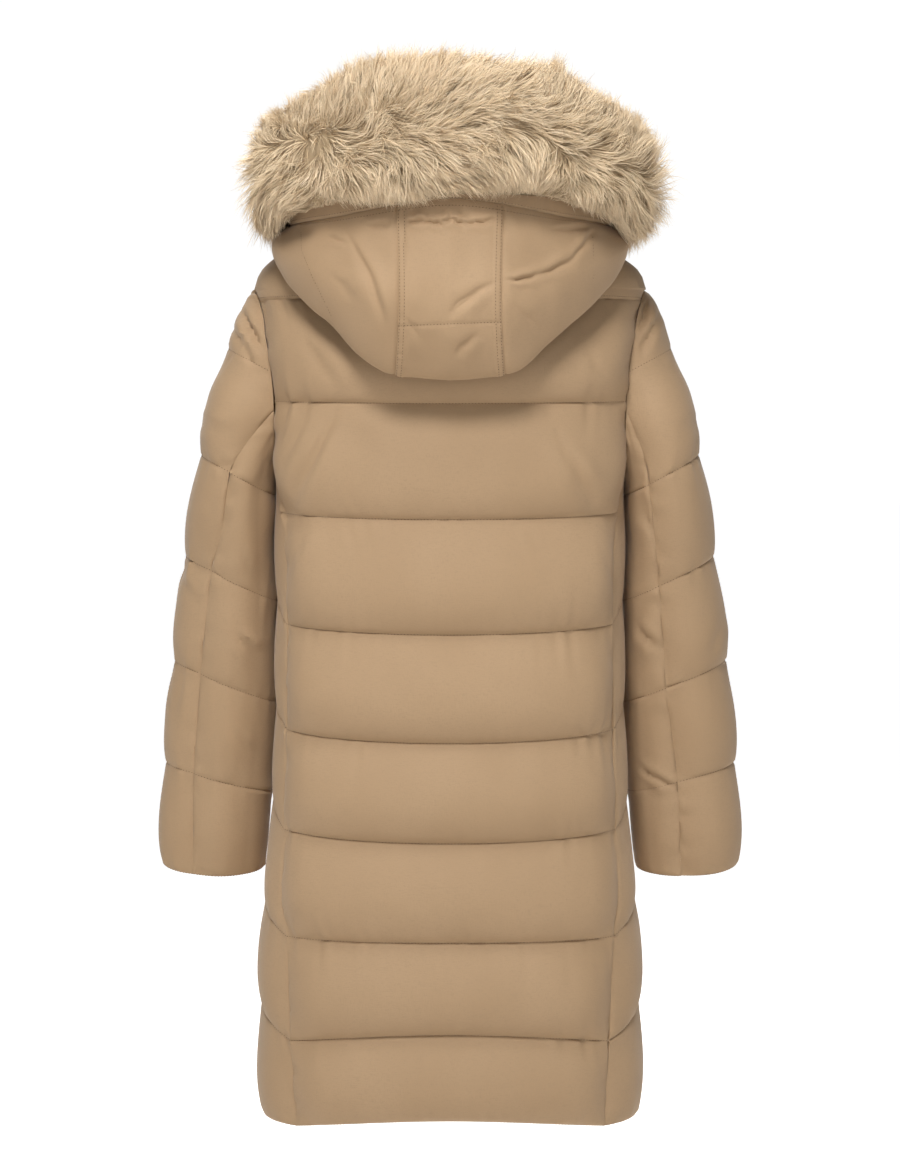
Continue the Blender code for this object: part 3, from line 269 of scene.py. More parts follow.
# Creases in each piece's cloth, each a trough with soft ridges beside it, seen straight from the
# back or the front: its two ends, its width and its depth, in millimetres.
Crease = namedtuple("Crease", "x0 z0 x1 z1 width depth")
CREASES = {
    "back": (
        (119, -194, 164, -292, 9.5, 4.4), (150, -205, 172, -262, 6, 1.2),
        (-121, -229, -152, -294, 8.5, 3.4), (-108, -206, -133, -268, 8, 1.4),
        (-137, -124, -158, -155, 6, 1.8), (150, -110, 112, -166, 9, 2.6),
        (143, -313, 166, -361, 6.5, 1.4), (-150, -322, -168, -372, 5.5, 1.2),
    ),
    "hood_centre": (
        (46, 1, 22, 4, 3.4, 3), (26, 3, 6, -1, 3, 3), (10, 0, -2, 5, 3, 2.8),
        (0, 6, -14, -1, 3, 3), (-12, 1, -48, 6, 3.6, 3), (-44, -60, 2, -94, 7, 2.6),
        (-28, -112, -6, -132, 6, 2.2), (46, -94, 28, -120, 6, 1.2),
    ),
    "hood_left": (
        (106, -8, 64, -106, 6.2, 2.6), (120, -50, 96, -78, 9, 1.4), (104, -18, 124, -10, 4, 1.4),
        (86, 0, 60, 1, 4.5, 2),
    ),
    "hood_right": (
        (-58, -57, -90, -50, 3.6, 3), (-88, -52, -128, -32, 5, 3), (-124, -34, -146, -2, 4.5, 2.4),
        (-104, -4, -142, 0, 4.5, 2.2), (-66, -84, -92, -112, 7, 1.2),
    ),
    "sleeve_outer_left": (
        (220, -80, 196, -124, 5.6, 5.6), (231, -96, 206, -140, 6, 3.6),
        (262, -198, 226, -214, 8, 1.6), (288, -330, 268, -392, 5, 1.6),
        (283, -470, 291, -520, 6, 1.4),
    ),
    "sleeve_outer_right": (
        (-210, -68, -196, -106, 5.4, 5.6), (-219, -86, -200, -128, 5.8, 4),
        (-230, -210, -258, -196, 8, 1.4), (-284, -410, -270, -450, 6, 1.6),
    ),
    "sleeve_inner_left": (
        (222, -330, 212, -352, 4, 2), (232, -424, 208, -446, 6, 3.6),
        (238, -520, 214, -550, 5, 2.2),
    ),
    "sleeve_inner_right": (
        (-206, -298, -220, -322, 5.2, 3.6), (-200, -416, -226, -438, 6, 3.8),
        (-202, -566, -246, -590, 4.5, 3),
    ),
    "front_left": (
        (150, -250, 122, -312, 7.5, 2.4), (30, -150, 52, -206, 7, 1.8),
        (162, -486, 128, -520, 8, 2), (24, -700, 48, -742, 6.5, 1.6),
        (118, -82, 148, -116, 6, 1.8),
    ),
    "front_right": (
        (-156, -262, -124, -330, 7, 2.6), (-26, -268, -44, -318, 6.5, 1.6),
        (-150, -600, -118, -642, 8, 2), (-28, -826, -52, -872, 6, 1.6),
        (-112, -78, -146, -108, 6, 2),
    ),
}

# Lines of stitches on the hood that follow no edge of a panel, seen straight from the back.
HoodStitch = namedtuple("HoodStitch", "piece x z")
HOOD_STITCHES = (
    HoodStitch("hood_left", (0.155, 0.152, 0.141, 0.120), (0.022, -0.023, -0.050, -0.093)),
    HoodStitch("hood_right", (-0.146, -0.147, -0.143), (-0.008, -0.050, -0.072)),
)
CROSS_STITCH_LEVEL = (-0.103, -0.099)   # the row across the hood's centre panel, at +X and -X


# ---------------------------------------------------------------- curves and noise

def row_before(places, place):
    """Index of the last row at or before a place, but never the very last row."""
    return np.clip(np.searchsorted(places, place, side="right") - 1, 0, len(places) - 2)


class Curve:
    """A cubic through rows, level past both ends and never overshooting."""

    def __init__(self, places, values):
        self.places = np.array(places, float)
        self.values = np.array(values, float)
        span = np.diff(self.places)
        if self.values.ndim > 1:
            span = span[:, None]
        slope = np.diff(self.values, axis=0) / span
        self.tangents = np.empty_like(self.values)
        self.tangents[0], self.tangents[-1] = slope[0], slope[-1]
        product, total = slope[:-1] * slope[1:], slope[:-1] + slope[1:]
        total[product <= 0.0] = 1.0
        self.tangents[1:-1] = np.where(product > 0.0, 2.0 * product / total, 0.0)

    def __call__(self, place):
        place = np.clip(place, self.places[0], self.places[-1])
        index = row_before(self.places, place)
        span = self.places[index + 1] - self.places[index]
        t = (place - self.places[index]) / span
        if self.values.ndim > 1:
            span, t = span[..., None], t[..., None]
        low = self.values[index]
        rise = self.values[index + 1] - low
        start, end = self.tangents[index] * span, self.tangents[index + 1] * span
        return low + t * (start + t * (3 * rise - 2 * start - end + t * (start + end - 2 * rise)))


def curves_of(table, key):
    """One curve for each named column of a table, by name, along its key column."""
    places = [getattr(row, key) for row in table]
    return {name: Curve(places, [getattr(row, name) for row in table])
            for name in table[0]._fields if name != key}


def steady(places, values, place):
    """Straight lines between rows, carried on past both ends."""
    places, values = np.asarray(places, float), np.asarray(values, float)
    index = row_before(places, place)
    share = (place - places[index]) / (places[index + 1] - places[index])
    return values[index] + share * (values[index + 1] - values[index])


def halve(test, low, high):
    """The places between low and high where test turns from true to false."""
    low, high = np.broadcast_arrays(np.array(low, float), np.array(high, float))
    low, high = low.copy(), high.copy()
    for _ in range(40):
        middle = 0.5 * (low + high)
        true = test(middle)
        low = np.where(true, middle, low)
        high = np.where(true, high, middle)
    return 0.5 * (low + high)


def blend(start, end, share):
    return start + (end - start) * share


def ease(share):
    share = np.clip(share, 0.0, 1.0)
    return share * share * (3.0 - 2.0 * share)


def bell(offset, width):
    return np.exp(-(offset / width) ** 2)


def groove(distance, depth, width):
    return depth * bell(distance, width)


def swell(distance, reach):
    """Rises, rounded, from 0 at a seam to 1 at its reach."""
    return np.sin(0.5 * math.pi * np.minimum(1.0, distance / reach))


def signed_power(value, power):
    return np.sign(value) * np.abs(value) ** power


def unit(vectors):
    return vectors / np.maximum(np.linalg.norm(vectors, axis=-1, keepdims=True), 1e-9)


def noise(u, v, seed):
    """Smooth noise from -1 to 1 on a plane."""
    cells = np.random.RandomState(seed).uniform(-1.0, 1.0, (64, 64))
    iu, iv = np.floor(u).astype(int), np.floor(v).astype(int)
    fu, fv = ease(u - iu), ease(v - iv)
    a, b = cells[iu % 64, iv % 64], cells[(iu + 1) % 64, iv % 64]
    c, d = cells[iu % 64, (iv + 1) % 64], cells[(iu + 1) % 64, (iv + 1) % 64]
    return blend(blend(a, b, fu), blend(c, d, fu), fv)


# ---------------------------------------------------------------- surfaces

TORSO_AT = curves_of(TORSO, "height")
SEAM_AT = curves_of(BACK_SEAM, "height")
SLEEVE_AT = curves_of(SLEEVE, "station")
SLEEVE_SEAM_AT = curves_of(SLEEVE_SEAMS, "station")
HOOD_AT = curves_of(HOOD, "share")
FUR_AT = curves_of(FUR, "share")


def neck_drop(angle, height):
    return NECK_DROP * ease((height - NECK_DROP_START) / -NECK_DROP_START) \
        * np.maximum(0.0, -np.sin(angle)) ** 2


def torso(angle, height):
    """Points of the body's stitch surface. Angle 0 is the left side, a quarter turn is the back."""
    angle, height = np.broadcast_arrays(angle, height)
    depth = np.where(np.sin(angle) >= 0.0, TORSO_AT["back_depth"](height),
                     TORSO_AT["front_depth"](height))
    power = TORSO_AT["squareness"](height)
    across = np.abs(np.cos(angle)) / TORSO_AT["half_width"](height)
    along = np.abs(np.sin(angle)) / depth
    radius = (across ** power + along ** power) ** (-1.0 / power)
    level = height - neck_drop(angle, height)
    return np.stack([radius * np.cos(angle), radius * np.sin(angle), level], axis=-1)


def torso_place(points):
    angle = np.arctan2(points[..., 1], points[..., 0])
    height = points[..., 2]
    for _ in range(4):
        height = points[..., 2] + neck_drop(angle, height)
    return angle, height


def outside_torso(points):
    angle, height = torso_place(points)
    surface = torso(angle, np.minimum(height, 0.0))
    farther = np.hypot(points[..., 0], points[..., 1]) > np.hypot(surface[..., 0], surface[..., 1])
    return (height > 0.0) | farther


def sleeve(angle, station):
    """Points of the left sleeve's stitch surface, carried on straight below its cuff."""
    angle, station = np.broadcast_arrays(angle, station)
    if np.any(station < 0.0):
        low = np.minimum(station, 0.0)[..., None]
        step = 0.05
        cuff = sleeve(angle, np.maximum(station, 0.0))
        return cuff + low / step * (sleeve(angle, np.full(angle.shape, step))
                                    - sleeve(angle, np.zeros(angle.shape)))
    power = 2.0 / SLEEVE_SQUARENESS
    across = signed_power(np.cos(angle), power)
    along = signed_power(np.sin(angle), power)
    outer_x, inner_x = SLEEVE_AT["outer_x"](station), SLEEVE_AT["inner_x"](station)
    outer_z, inner_z = SLEEVE_AT["outer_z"](station), SLEEVE_AT["inner_z"](station)
    return np.stack([0.5 * (outer_x + inner_x) + 0.5 * across * (outer_x - inner_x),
                     SLEEVE_AT["centre_y"](station) + along * SLEEVE_AT["half_depth"](station),
                     0.5 * (outer_z + inner_z) + 0.5 * across * (outer_z - inner_z)], axis=-1)


def collar(angle, rise):
    foot = torso(angle, 0.0)
    shrink = 1.0 - 0.06 * rise
    return np.stack([foot[..., 0] * shrink, foot[..., 1] * shrink,
                     foot[..., 2] + SEAM_GAP + COLLAR_HEIGHT * rise], axis=-1)


def collar_normal(angle, rise):
    round_way = collar(angle + 0.01, rise) - collar(angle - 0.01, rise)
    return unit(np.cross(round_way, np.array([0.0, 0.0, 1.0])))


def hood_curve(share, name):
    one = np.ones_like(share)
    sides = np.stack([np.where(share < 0.0, -1.0, 1.0), one, one], axis=-1)
    return HOOD_AT[name](np.abs(share)) * sides


def rim_lift(share):
    return RIM_LIFT * (1.0 - ease(np.abs(share) / RIM_LIFT_END))


def hood_rim(share):
    rim = hood_curve(share, "rim")
    rim[..., 2] += rim_lift(share)
    return rim


def hood_seam(share):
    """Points of the hood's edge where it's sewn to the collar's outer face."""
    angle = np.radians(HOOD_AT["seam_angle"](np.abs(share)))
    lift = COLLAR_PUFF * math.sin(math.pi * HOOD_RISE) + COLLAR_EDGE_PUFF + HOOD_SEAM_GAP
    points = collar(angle, HOOD_RISE) + collar_normal(angle, HOOD_RISE) * lift
    points[..., 0] *= np.where(share < 0.0, -1.0, 1.0)
    return points


def hood(share, along):
    """Points of the hood's outer face: along is 0 at the collar's seam and 1 at the opening."""
    share, along = np.broadcast_arrays(np.array(share, float), np.array(along, float))
    points = [hood_seam(share)] + [hood_curve(share, name) for name in ("under", "fold", "swell")]
    points.append(hood_rim(share))
    rows = [2.0 * points[0] - points[1]] + points + [2.0 * points[-1] - points[-2]]
    rows = np.stack(rows)
    stops = np.array(HOOD_STOPS)
    index = row_before(stops, along)
    t = ((along - stops[index]) / (stops[index + 1] - stops[index]))[..., None]
    before, start, end, after = [
        np.take_along_axis(rows, (index + k)[None, ..., None], axis=0)[0] for k in range(4)]
    pull, push = 0.5 * (end - before), 0.5 * (after - start)
    return (start * (2 * t ** 3 - 3 * t ** 2 + 1) + pull * (t ** 3 - 2 * t ** 2 + t)
            + end * (3 * t ** 2 - 2 * t ** 3) + push * (t ** 3 - t ** 2))


def hood_out(share):
    """Level direction away from the neck at the hood's opening."""
    behind = hood_curve(np.maximum(-1.0, share - 0.01), "rim")
    ahead = hood_curve(np.minimum(1.0, share + 0.01), "rim")
    out = np.stack([behind[..., 1] - ahead[..., 1], ahead[..., 0] - behind[..., 0],
                    np.zeros_like(share)], axis=-1)
    return unit(out)


def normals_of(surface, first, second, steps):
    round_way = surface(first + steps[0], second) - surface(first - steps[0], second)
    up_way = surface(first, second + steps[1]) - surface(first, second - steps[1])
    return unit(np.cross(round_way, up_way))


# ---------------------------------------------------------------- the armhole and the seams

def armhole_angle(station, way):
    return way * halve(lambda a: outside_torso(sleeve(way * a, station)), 0.0, math.pi)


def armhole_station(angle):
    return halve(lambda s: outside_torso(sleeve(angle, s)), np.full_like(angle, 3.8), 6.0)


ARMPIT = float(armhole_station(np.array(math.pi)))
SHOULDER = float(armhole_station(np.array(0.0)))


def armhole_edge(way, count=160):
    turn = np.pi * np.arange(count + 1) / count
    station = blend(ARMPIT, SHOULDER, 0.5 - 0.5 * np.cos(turn))
    angle = armhole_angle(station, way)
    angle[0], angle[-1] = way * math.pi, 0.0
    around, height = torso_place(sleeve(angle, station))
    return height, around


ARMHOLE_BACK = armhole_edge(1)
ARMHOLE_FRONT = armhole_edge(-1)
SHOULDER_HEIGHT = ARMHOLE_BACK[0][-1]
ARMHOLE_WAIST = 72


def edge_angle(edge, height):
    return steady(edge[0], edge[1], height)


def back_seam_angle(height):
    width = SEAM_AT["half_width"](height)
    return halve(lambda angle: torso(angle, height)[..., 0] > width, np.zeros_like(height),
                 0.5 * math.pi)


BACK_JOIN = float(halve(lambda h: edge_angle(ARMHOLE_BACK, h) < back_seam_angle(h),
                        ARMHOLE_BACK[0][0], ARMHOLE_BACK[0][ARMHOLE_WAIST]))
SIDE_JOIN = float(halve(lambda h: edge_angle(ARMHOLE_FRONT, h) > SIDE_SEAM_ANGLE,
                        ARMHOLE_FRONT[0][0], ARMHOLE_FRONT[0][ARMHOLE_WAIST]))


def line_heights(name, top):
    return np.array([getattr(line, name) for line in LINES] + [top])


BACK_EDGE_HEIGHTS = line_heights("back_seam", YOKE_SEAM)
BACK_CENTRE_HEIGHTS = line_heights("back_centre", YOKE_SEAM)
FRONT_SIDE_HEIGHTS = line_heights("side_seam", SHOULDER_HEIGHT)
FRONT_EDGE_HEIGHTS = line_heights("front_edge", -0.055)
BACK_JOIN_ROW = float(steady(BACK_EDGE_HEIGHTS, np.arange(9), BACK_JOIN))
SIDE_LINES = 5


def height_at(heights, row):
    return steady(np.arange(len(heights)), heights, row)


def shoulder_seam(share):
    """Angle and height of the front shoulder seam, from the shoulder point to the neck."""
    top_width = TORSO_AT["half_width"](SHOULDER_HEIGHT)
    reach = blend(top_width, TORSO[-1].half_width, share)
    level = halve(lambda h: TORSO_AT["half_width"](h) > reach,
                  np.full_like(share, SHOULDER_HEIGHT), 0.0)
    return SHOULDER_SEAM_ANGLE * share ** 1.5, level


def ruled(start, end, shares):
    """For each row, values that run straight from start to end at these shares."""
    return blend(start[:, None], end[:, None], shares[None, :])


def shares_of(count):
    return np.linspace(0.0, 1.0, count + 1)


def even_angles(start, end, height, count):
    """For each row, angles that split the ring's arc from start to end into equal lengths."""
    fine = ruled(start, end, shares_of(90))
    points = torso(fine, height[:, None])
    steps = np.linalg.norm(np.diff(points, axis=1), axis=-1)
    lengths = np.concatenate([np.zeros((len(fine), 1)), np.cumsum(steps, axis=1)], axis=1)
    shares = shares_of(count)
    return np.stack([np.interp(shares * row[-1], row, angles)
                     for row, angles in zip(lengths, fine)])


def sleeve_seam(side, station):
    low = np.minimum(station, 4.0)
    back = np.radians(SLEEVE_SEAM_AT[side + "_back"](low))
    front = np.radians(SLEEVE_SEAM_AT["front"](low))
    share = np.clip((station - 4.0) / (SLEEVE_SEAM_TOP - 4.0), 0.0, 1.0)
    return tuple(blend(angle, armhole_angle(np.array(SLEEVE_SEAM_TOP), way), share)
                 for angle, way in ((back, 1), (front, -1)))


# ---------------------------------------------------------------- relief on the cloth

def puff_rows(first, last, per_puff=ROWS_PER_PUFF):
    """Rows from first to last, closer together beside each quilting line."""
    share = np.arange(per_puff) / per_puff
    share = 0.45 * share + 0.55 * (0.5 - 0.5 * np.cos(math.pi * share))
    rows = [line + share for line in range(int(math.floor(first)), int(math.ceil(last)) + 1)]
    rows = np.concatenate(rows)
    rows = rows[(rows > first + 1e-6) & (rows < last - 1e-6)]
    return np.concatenate([[first], rows, [last]])


def cumulative(points, axis):
    steps = np.linalg.norm(np.diff(points, axis=axis), axis=-1)
    zero = np.zeros_like(np.take(steps, [0], axis=axis))
    return np.concatenate([zero, np.cumsum(steps, axis=axis)], axis=axis)


def from_ends(ways, axis):
    """The way along an axis to the nearer of its two ends."""
    return np.minimum(ways, np.take(ways, [-1], axis=axis) - ways)


def crease_relief(name, points, mirrored):
    """Height of the creases that the table gives a piece."""
    relief = np.zeros(points.shape[:-1])
    x = -points[..., 0] if mirrored else points[..., 0]
    z = points[..., 2]
    for row in CREASES.get(name, ()):
        crease = Crease(*(value / 1000.0 for value in row))
        run = np.array([crease.x1 - crease.x0, crease.z1 - crease.z0])
        length = math.hypot(*run)
        run = run / length
        along = ((x - crease.x0) * run[0] + (z - crease.z0) * run[1]) / length
        bow = 0.05 * length * math.sin(400.0 * crease.x0) * 4.0 * along * (1.0 - along)
        wander = 0.0004 * np.sin(14.0 * along + 40.0 * crease.x0)
        aside = (x - crease.x0) * run[1] - (z - crease.z0) * run[0] + bow + wander
        width = crease.width * (0.75 + 0.5 * np.clip(along, 0.0, 1.0))
        ends = ease((along + 0.15) / 0.55) * ease((1.15 - along) / 0.50)
        trough = bell(aside, 0.55 * width)
        ridge = bell(aside - 1.2 * width, 1.2 * width) \
            + 0.6 * bell(aside + 1.6 * width, 1.3 * width)
        relief += 1.15 * crease.depth * ends * (0.8 * ridge - 0.9 * trough)
    return relief


def quilting(name, surface, rows, height, seed, pucker=PUCKER, mirrored=False, lifted=0.0):
    """Relief of a quilted piece: hanging puffs, puckers along the stitches and seam grooves.

    Rows are whole numbers on the quilting lines, and lifted is the share of the height that
    stays between the lines as an even fullness."""
    rows = rows[:, None] if rows.ndim == 1 else rows
    along, up = cumulative(surface, 1), cumulative(surface, 0)
    away = from_ends(along, 1)
    line, share = np.round(rows), rows - np.floor(rows)
    pitch = up[-1:, :] / np.maximum(rows[-1] - rows[0], 0.5)
    below, above = share * pitch, (1.0 - share) * pitch
    near = np.minimum(below, above)
    fade = swell(away, SEAM_RISE)
    puff = np.sin(math.pi * share ** SAG) * fade
    fullness = 1.0 + 0.13 * noise(along / 0.085 + seed, np.floor(rows) * 3.7 + share * 1.1, seed) \
        + 0.05 * noise(along / 0.030, rows * 3.0, seed + 1)
    relief = height * ((1.0 - lifted) * puff * fullness + lifted * fade)
    strength = pucker * (0.30 + 1.0 * np.exp(-away / 0.055)) * (
        0.6 + 0.6 * noise(along / 0.050, line * 2.3, seed + 2))
    wave = noise(along / 0.0085 + 5.0 * line, line * 7.1 + near / 0.060, seed + 3)
    reach = np.where(below < above, 0.014, 0.020)
    relief += strength * wave * np.exp(-near / reach) * np.minimum(1.0, near / 0.0015)
    cross = noise(up / 0.0110 + 11.0, along / 0.080, seed + 4)
    relief += 0.55 * pucker * cross * np.exp(-away / 0.012) * np.minimum(1.0, away / 0.002)
    relief -= groove(near, *STITCH_GROOVE) * np.minimum(1.0, away / 0.004)
    relief -= groove(away, *SEAM_GROOVE)
    return relief + crease_relief(name, surface, mirrored)


# ---------------------------------------------------------------- meshes

def mesh_object(name, points, faces, material, attributes=None, smooth=True):
    mesh = bpy.data.meshes.new(name)
    points = np.asarray(points, float).reshape(-1, 3)
    mesh.from_pydata(points, [], faces)
    for label, values in (attributes or {}).items():
        layer = mesh.attributes.new(label, "FLOAT", "POINT")
        layer.data.foreach_set("value", np.asarray(values, np.float32))
    mesh.update()
    if smooth:
        mesh.shade_smooth()
    mesh.materials.append(material)
    item = bpy.data.objects.new(name, mesh)
    bpy.context.scene.collection.objects.link(item)
    return item


def grid_faces(rows, columns, start=0):
    r, c = np.meshgrid(np.arange(rows - 1), np.arange(columns - 1), indexing="ij")
    corner = start + r * columns + c
    return np.stack([corner, corner + 1, corner + columns + 1, corner + columns], -1).reshape(-1, 4)


def repeated(pattern, size, count):
    """The faces of one small form of size points, for each of count such forms."""
    pattern = np.array(pattern)
    every = pattern[None] + size * np.arange(count)[:, None, None]
    return every.reshape(-1, pattern.shape[1]).tolist()


def border_of(rows, columns):
    border = [(0, c) for c in range(columns)]
    border += [(r, columns - 1) for r in range(1, rows)]
    border += [(rows - 1, c) for c in range(columns - 2, -1, -1)]
    return border + [(r, 0) for r in range(rows - 2, 0, -1)]


def shell_object(name, outside, inside, material, mirrored=False):
    """A closed shell: a fine outside grid, a plain inside with fewer points, and a rim."""
    rows, columns = outside.shape[:2]
    step = FACES_PER_RIB
    if (rows - 1) % step or (columns - 1) % step:
        raise ValueError(name + ": the grid doesn't split into ribs")
    plain = inside[::step, ::step]
    plain_rows, plain_columns = plain.shape[:2]
    points = np.concatenate([outside.reshape(-1, 3), plain.reshape(-1, 3)])
    if mirrored:
        points = points * np.array([-1.0, 1.0, 1.0])
    base = rows * columns
    faces = grid_faces(rows, columns).tolist()
    faces += grid_faces(plain_rows, plain_columns, base)[:, ::-1].tolist()
    fine = [r * columns + c for r, c in border_of(rows, columns)]
    coarse = [base + r * plain_columns + c for r, c in border_of(plain_rows, plain_columns)]
    fine.append(fine[0])
    coarse.append(coarse[0])
    for k in range(len(coarse) - 1):
        near, far = coarse[k], coarse[k + 1]
        ring = fine[k * step:k * step + step + 1]
        half = step // 2
        faces += [(ring[j + 1], ring[j], near) for j in range(half)]
        faces.append((ring[half], near, far))
        faces += [(ring[j + 1], ring[j], far) for j in range(half, step)]
    item = mesh_object(name + "_cloth", points, faces, material)
    shape = bmesh.new()
    shape.from_mesh(item.data)
    bmesh.ops.remove_doubles(shape, verts=shape.verts, dist=1e-5)
    bmesh.ops.recalc_face_normals(shape, faces=shape.faces)
    shape.to_mesh(item.data)
    shape.free()
    item.data.set_sharp_from_angle(angle=math.radians(50.0))
    return item


def pull_in(surface, gap, sides):
    """Moves a grid's edge points in from their seams, along the cloth."""
    moved, every = surface.copy(), slice(None)
    for side, edge, inner in (("start", (every, 0), (every, 1)), ("end", (every, -1), (every, -2)),
                              ("bottom", 0, 1), ("top", -1, -2)):
        if side in sides:
            moved[edge] += gap * unit(surface[inner] - surface[edge])
    return moved


STITCHES = []


def declare(item, node=None):
    """A piece that rides on the coat, and stands for a CAD node where one is named."""
    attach(item, "coat")
    if node:
        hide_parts(node)


def raise_shell(name, surface, normals, relief, wall, material, mirrored=False, inward=None,
                top_gap=0.0):
    """Makes the cloth piece of a CAD node, raised by relief, and returns its outside."""
    outside = surface + normals * relief[..., None]
    inside = surface - (normals if inward is None else inward) * wall
    for points in (outside, inside):
        points[-1] += top_gap * unit(points[-2] - points[-1])
    item = shell_object(name, outside, inside, material, mirrored)
    declare(item, name)
    return outside


def whole_ribs(values):
    """Drops the fewest inner rows so that the grid splits into whole ribs."""
    extra = (len(values) - 1) % FACES_PER_RIB
    if not extra:
        return values
    drop = np.linspace(1, len(values) - 2, extra + 2).astype(int)[1:-1]
    return np.delete(values, drop, axis=0)


def stitch_along(points, normals, mirrored=False):
    """Keeps a run of stitches along a polyline of surface points."""
    flip = np.array([-1.0 if mirrored else 1.0, 1.0, 1.0])
    points, normals = points * flip, normals * flip
    lengths = np.concatenate([[0.0], np.cumsum(np.linalg.norm(np.diff(points, axis=0), axis=-1))])
    places = np.arange(0.001, lengths[-1] - 0.001, STITCH_PITCH)
    if len(places) == 0:
        return

    def at(places, rows):
        return np.stack([np.interp(places, lengths, column) for column in rows.T], -1)

    out = unit(at(places, normals))
    way = unit(at(places + 0.0005, points) - at(places - 0.0005, points))
    STITCHES.append((at(places, points) + 0.0001 * out, way, out))


def stitch_object(material):
    centres, ways, outs = (np.concatenate(runs) for runs in zip(*STITCHES))
    sides = unit(np.cross(ways, outs))
    half = 0.5 * STITCH_LENGTH
    width = 0.5 * STITCH_WIDTH
    corners = np.stack([centres - ways * half, centres + sides * width, centres + outs * width,
                        centres - sides * width, centres - outs * width, centres + ways * half], 1)
    faces = repeated([(0, 2, 1), (0, 3, 2), (0, 4, 3), (0, 1, 4),
                      (5, 1, 2), (5, 2, 3), (5, 3, 4), (5, 4, 1)], 6, len(centres))
    declare(mesh_object("stitching", corners, faces, material))


# ---------------------------------------------------------------- the body

def body_shell(name, angles, heights, rows, height, sides, seed, material, mirrored=False,
               pucker=PUCKER, stitch_lines=()):
    surface = pull_in(torso(angles, heights), CLOTH_GAP, sides)
    normals = normals_of(torso, angles, heights, TORSO_STEP)
    relief = quilting(name, surface, rows, height, seed, pucker, mirrored)
    outside = raise_shell(name, surface, normals, relief, WALL, material, mirrored)
    for line in stitch_lines:
        r = int(np.argmin(np.abs(rows - line)))
        stitch_along(outside[r], normals[r], mirrored)


def make_back(material):
    rows = whole_ribs(puff_rows(0.0, 8.0))
    edge = height_at(BACK_EDGE_HEIGHTS, rows)
    centre = height_at(BACK_CENTRE_HEIGHTS, rows)
    start = np.where(rows <= BACK_JOIN_ROW, back_seam_angle(edge), edge_angle(ARMHOLE_BACK, edge))
    angles = even_angles(start, math.pi - start, edge, BACK_COLUMNS)
    bow = 1.0 - (2.0 * np.arange(BACK_COLUMNS + 1) / BACK_COLUMNS - 1.0) ** 2
    heights = ruled(edge, centre, bow)
    body_shell("back", angles, heights, rows, BACK_PUFF, ("start", "end", "top"), 3, material,
               stitch_lines=range(0, 8))


def armhole_floor(angles):
    back = halve(lambda h: edge_angle(ARMHOLE_BACK, h) < angles,
                 np.full_like(angles, ARMHOLE_BACK[0][0]), ARMHOLE_BACK[0][ARMHOLE_WAIST])
    front = halve(lambda h: edge_angle(ARMHOLE_FRONT, h) > angles,
                  np.full_like(angles, ARMHOLE_FRONT[0][0]), ARMHOLE_FRONT[0][ARMHOLE_WAIST])
    return np.where(angles >= ARMHOLE_BACK[1][0], back, front)


def beside_arm(heights):
    """0 below the level where the arm lies beside the body, and 1 above it."""
    low, high = UNDER_ARM_LEVELS
    return np.clip((heights - low) / (high - low), 0.0, 1.0)


def make_side(name, mirrored, seed, material):
    rows = whole_ribs(puff_rows(0.0, BACK_JOIN_ROW))
    back = height_at(BACK_EDGE_HEIGHTS, rows)
    front = height_at(FRONT_SIDE_HEIGHTS, rows)
    top_share = (back - BACK_EDGE_HEIGHTS[SIDE_LINES]) / (BACK_JOIN - BACK_EDGE_HEIGHTS[SIDE_LINES])
    upper = rows > SIDE_LINES
    front = np.where(upper, blend(FRONT_SIDE_HEIGHTS[SIDE_LINES], SIDE_JOIN, top_share), front)
    vent = VENT_GAP * np.maximum(0.0, 1.0 - (front - LINES[0].side_seam) / VENT_HEIGHT) / 0.2
    start, end = SIDE_SEAM_ANGLE + vent, back_seam_angle(back)
    heights = ruled(front, back, shares_of(SIDE_COLUMNS))
    angles = even_angles(start, end, 0.5 * (back + front), SIDE_COLUMNS)
    quilt = np.where(upper, SIDE_LINES + np.clip(top_share, 0.0, 1.0), rows)
    lift = armhole_floor(angles[-1]) - heights[-1]
    heights = heights + lift[None, :] * np.maximum(0.0, quilt - SIDE_LINES)[:, None]
    height = blend(SIDE_PUFF_BELOW, SIDE_PUFF_UNDER_ARM, beside_arm(heights))
    body_shell(name, angles, heights, quilt, height, ("start", "end", "top"), seed, material,
               mirrored, SIDE_PUCKER, range(0, 6))


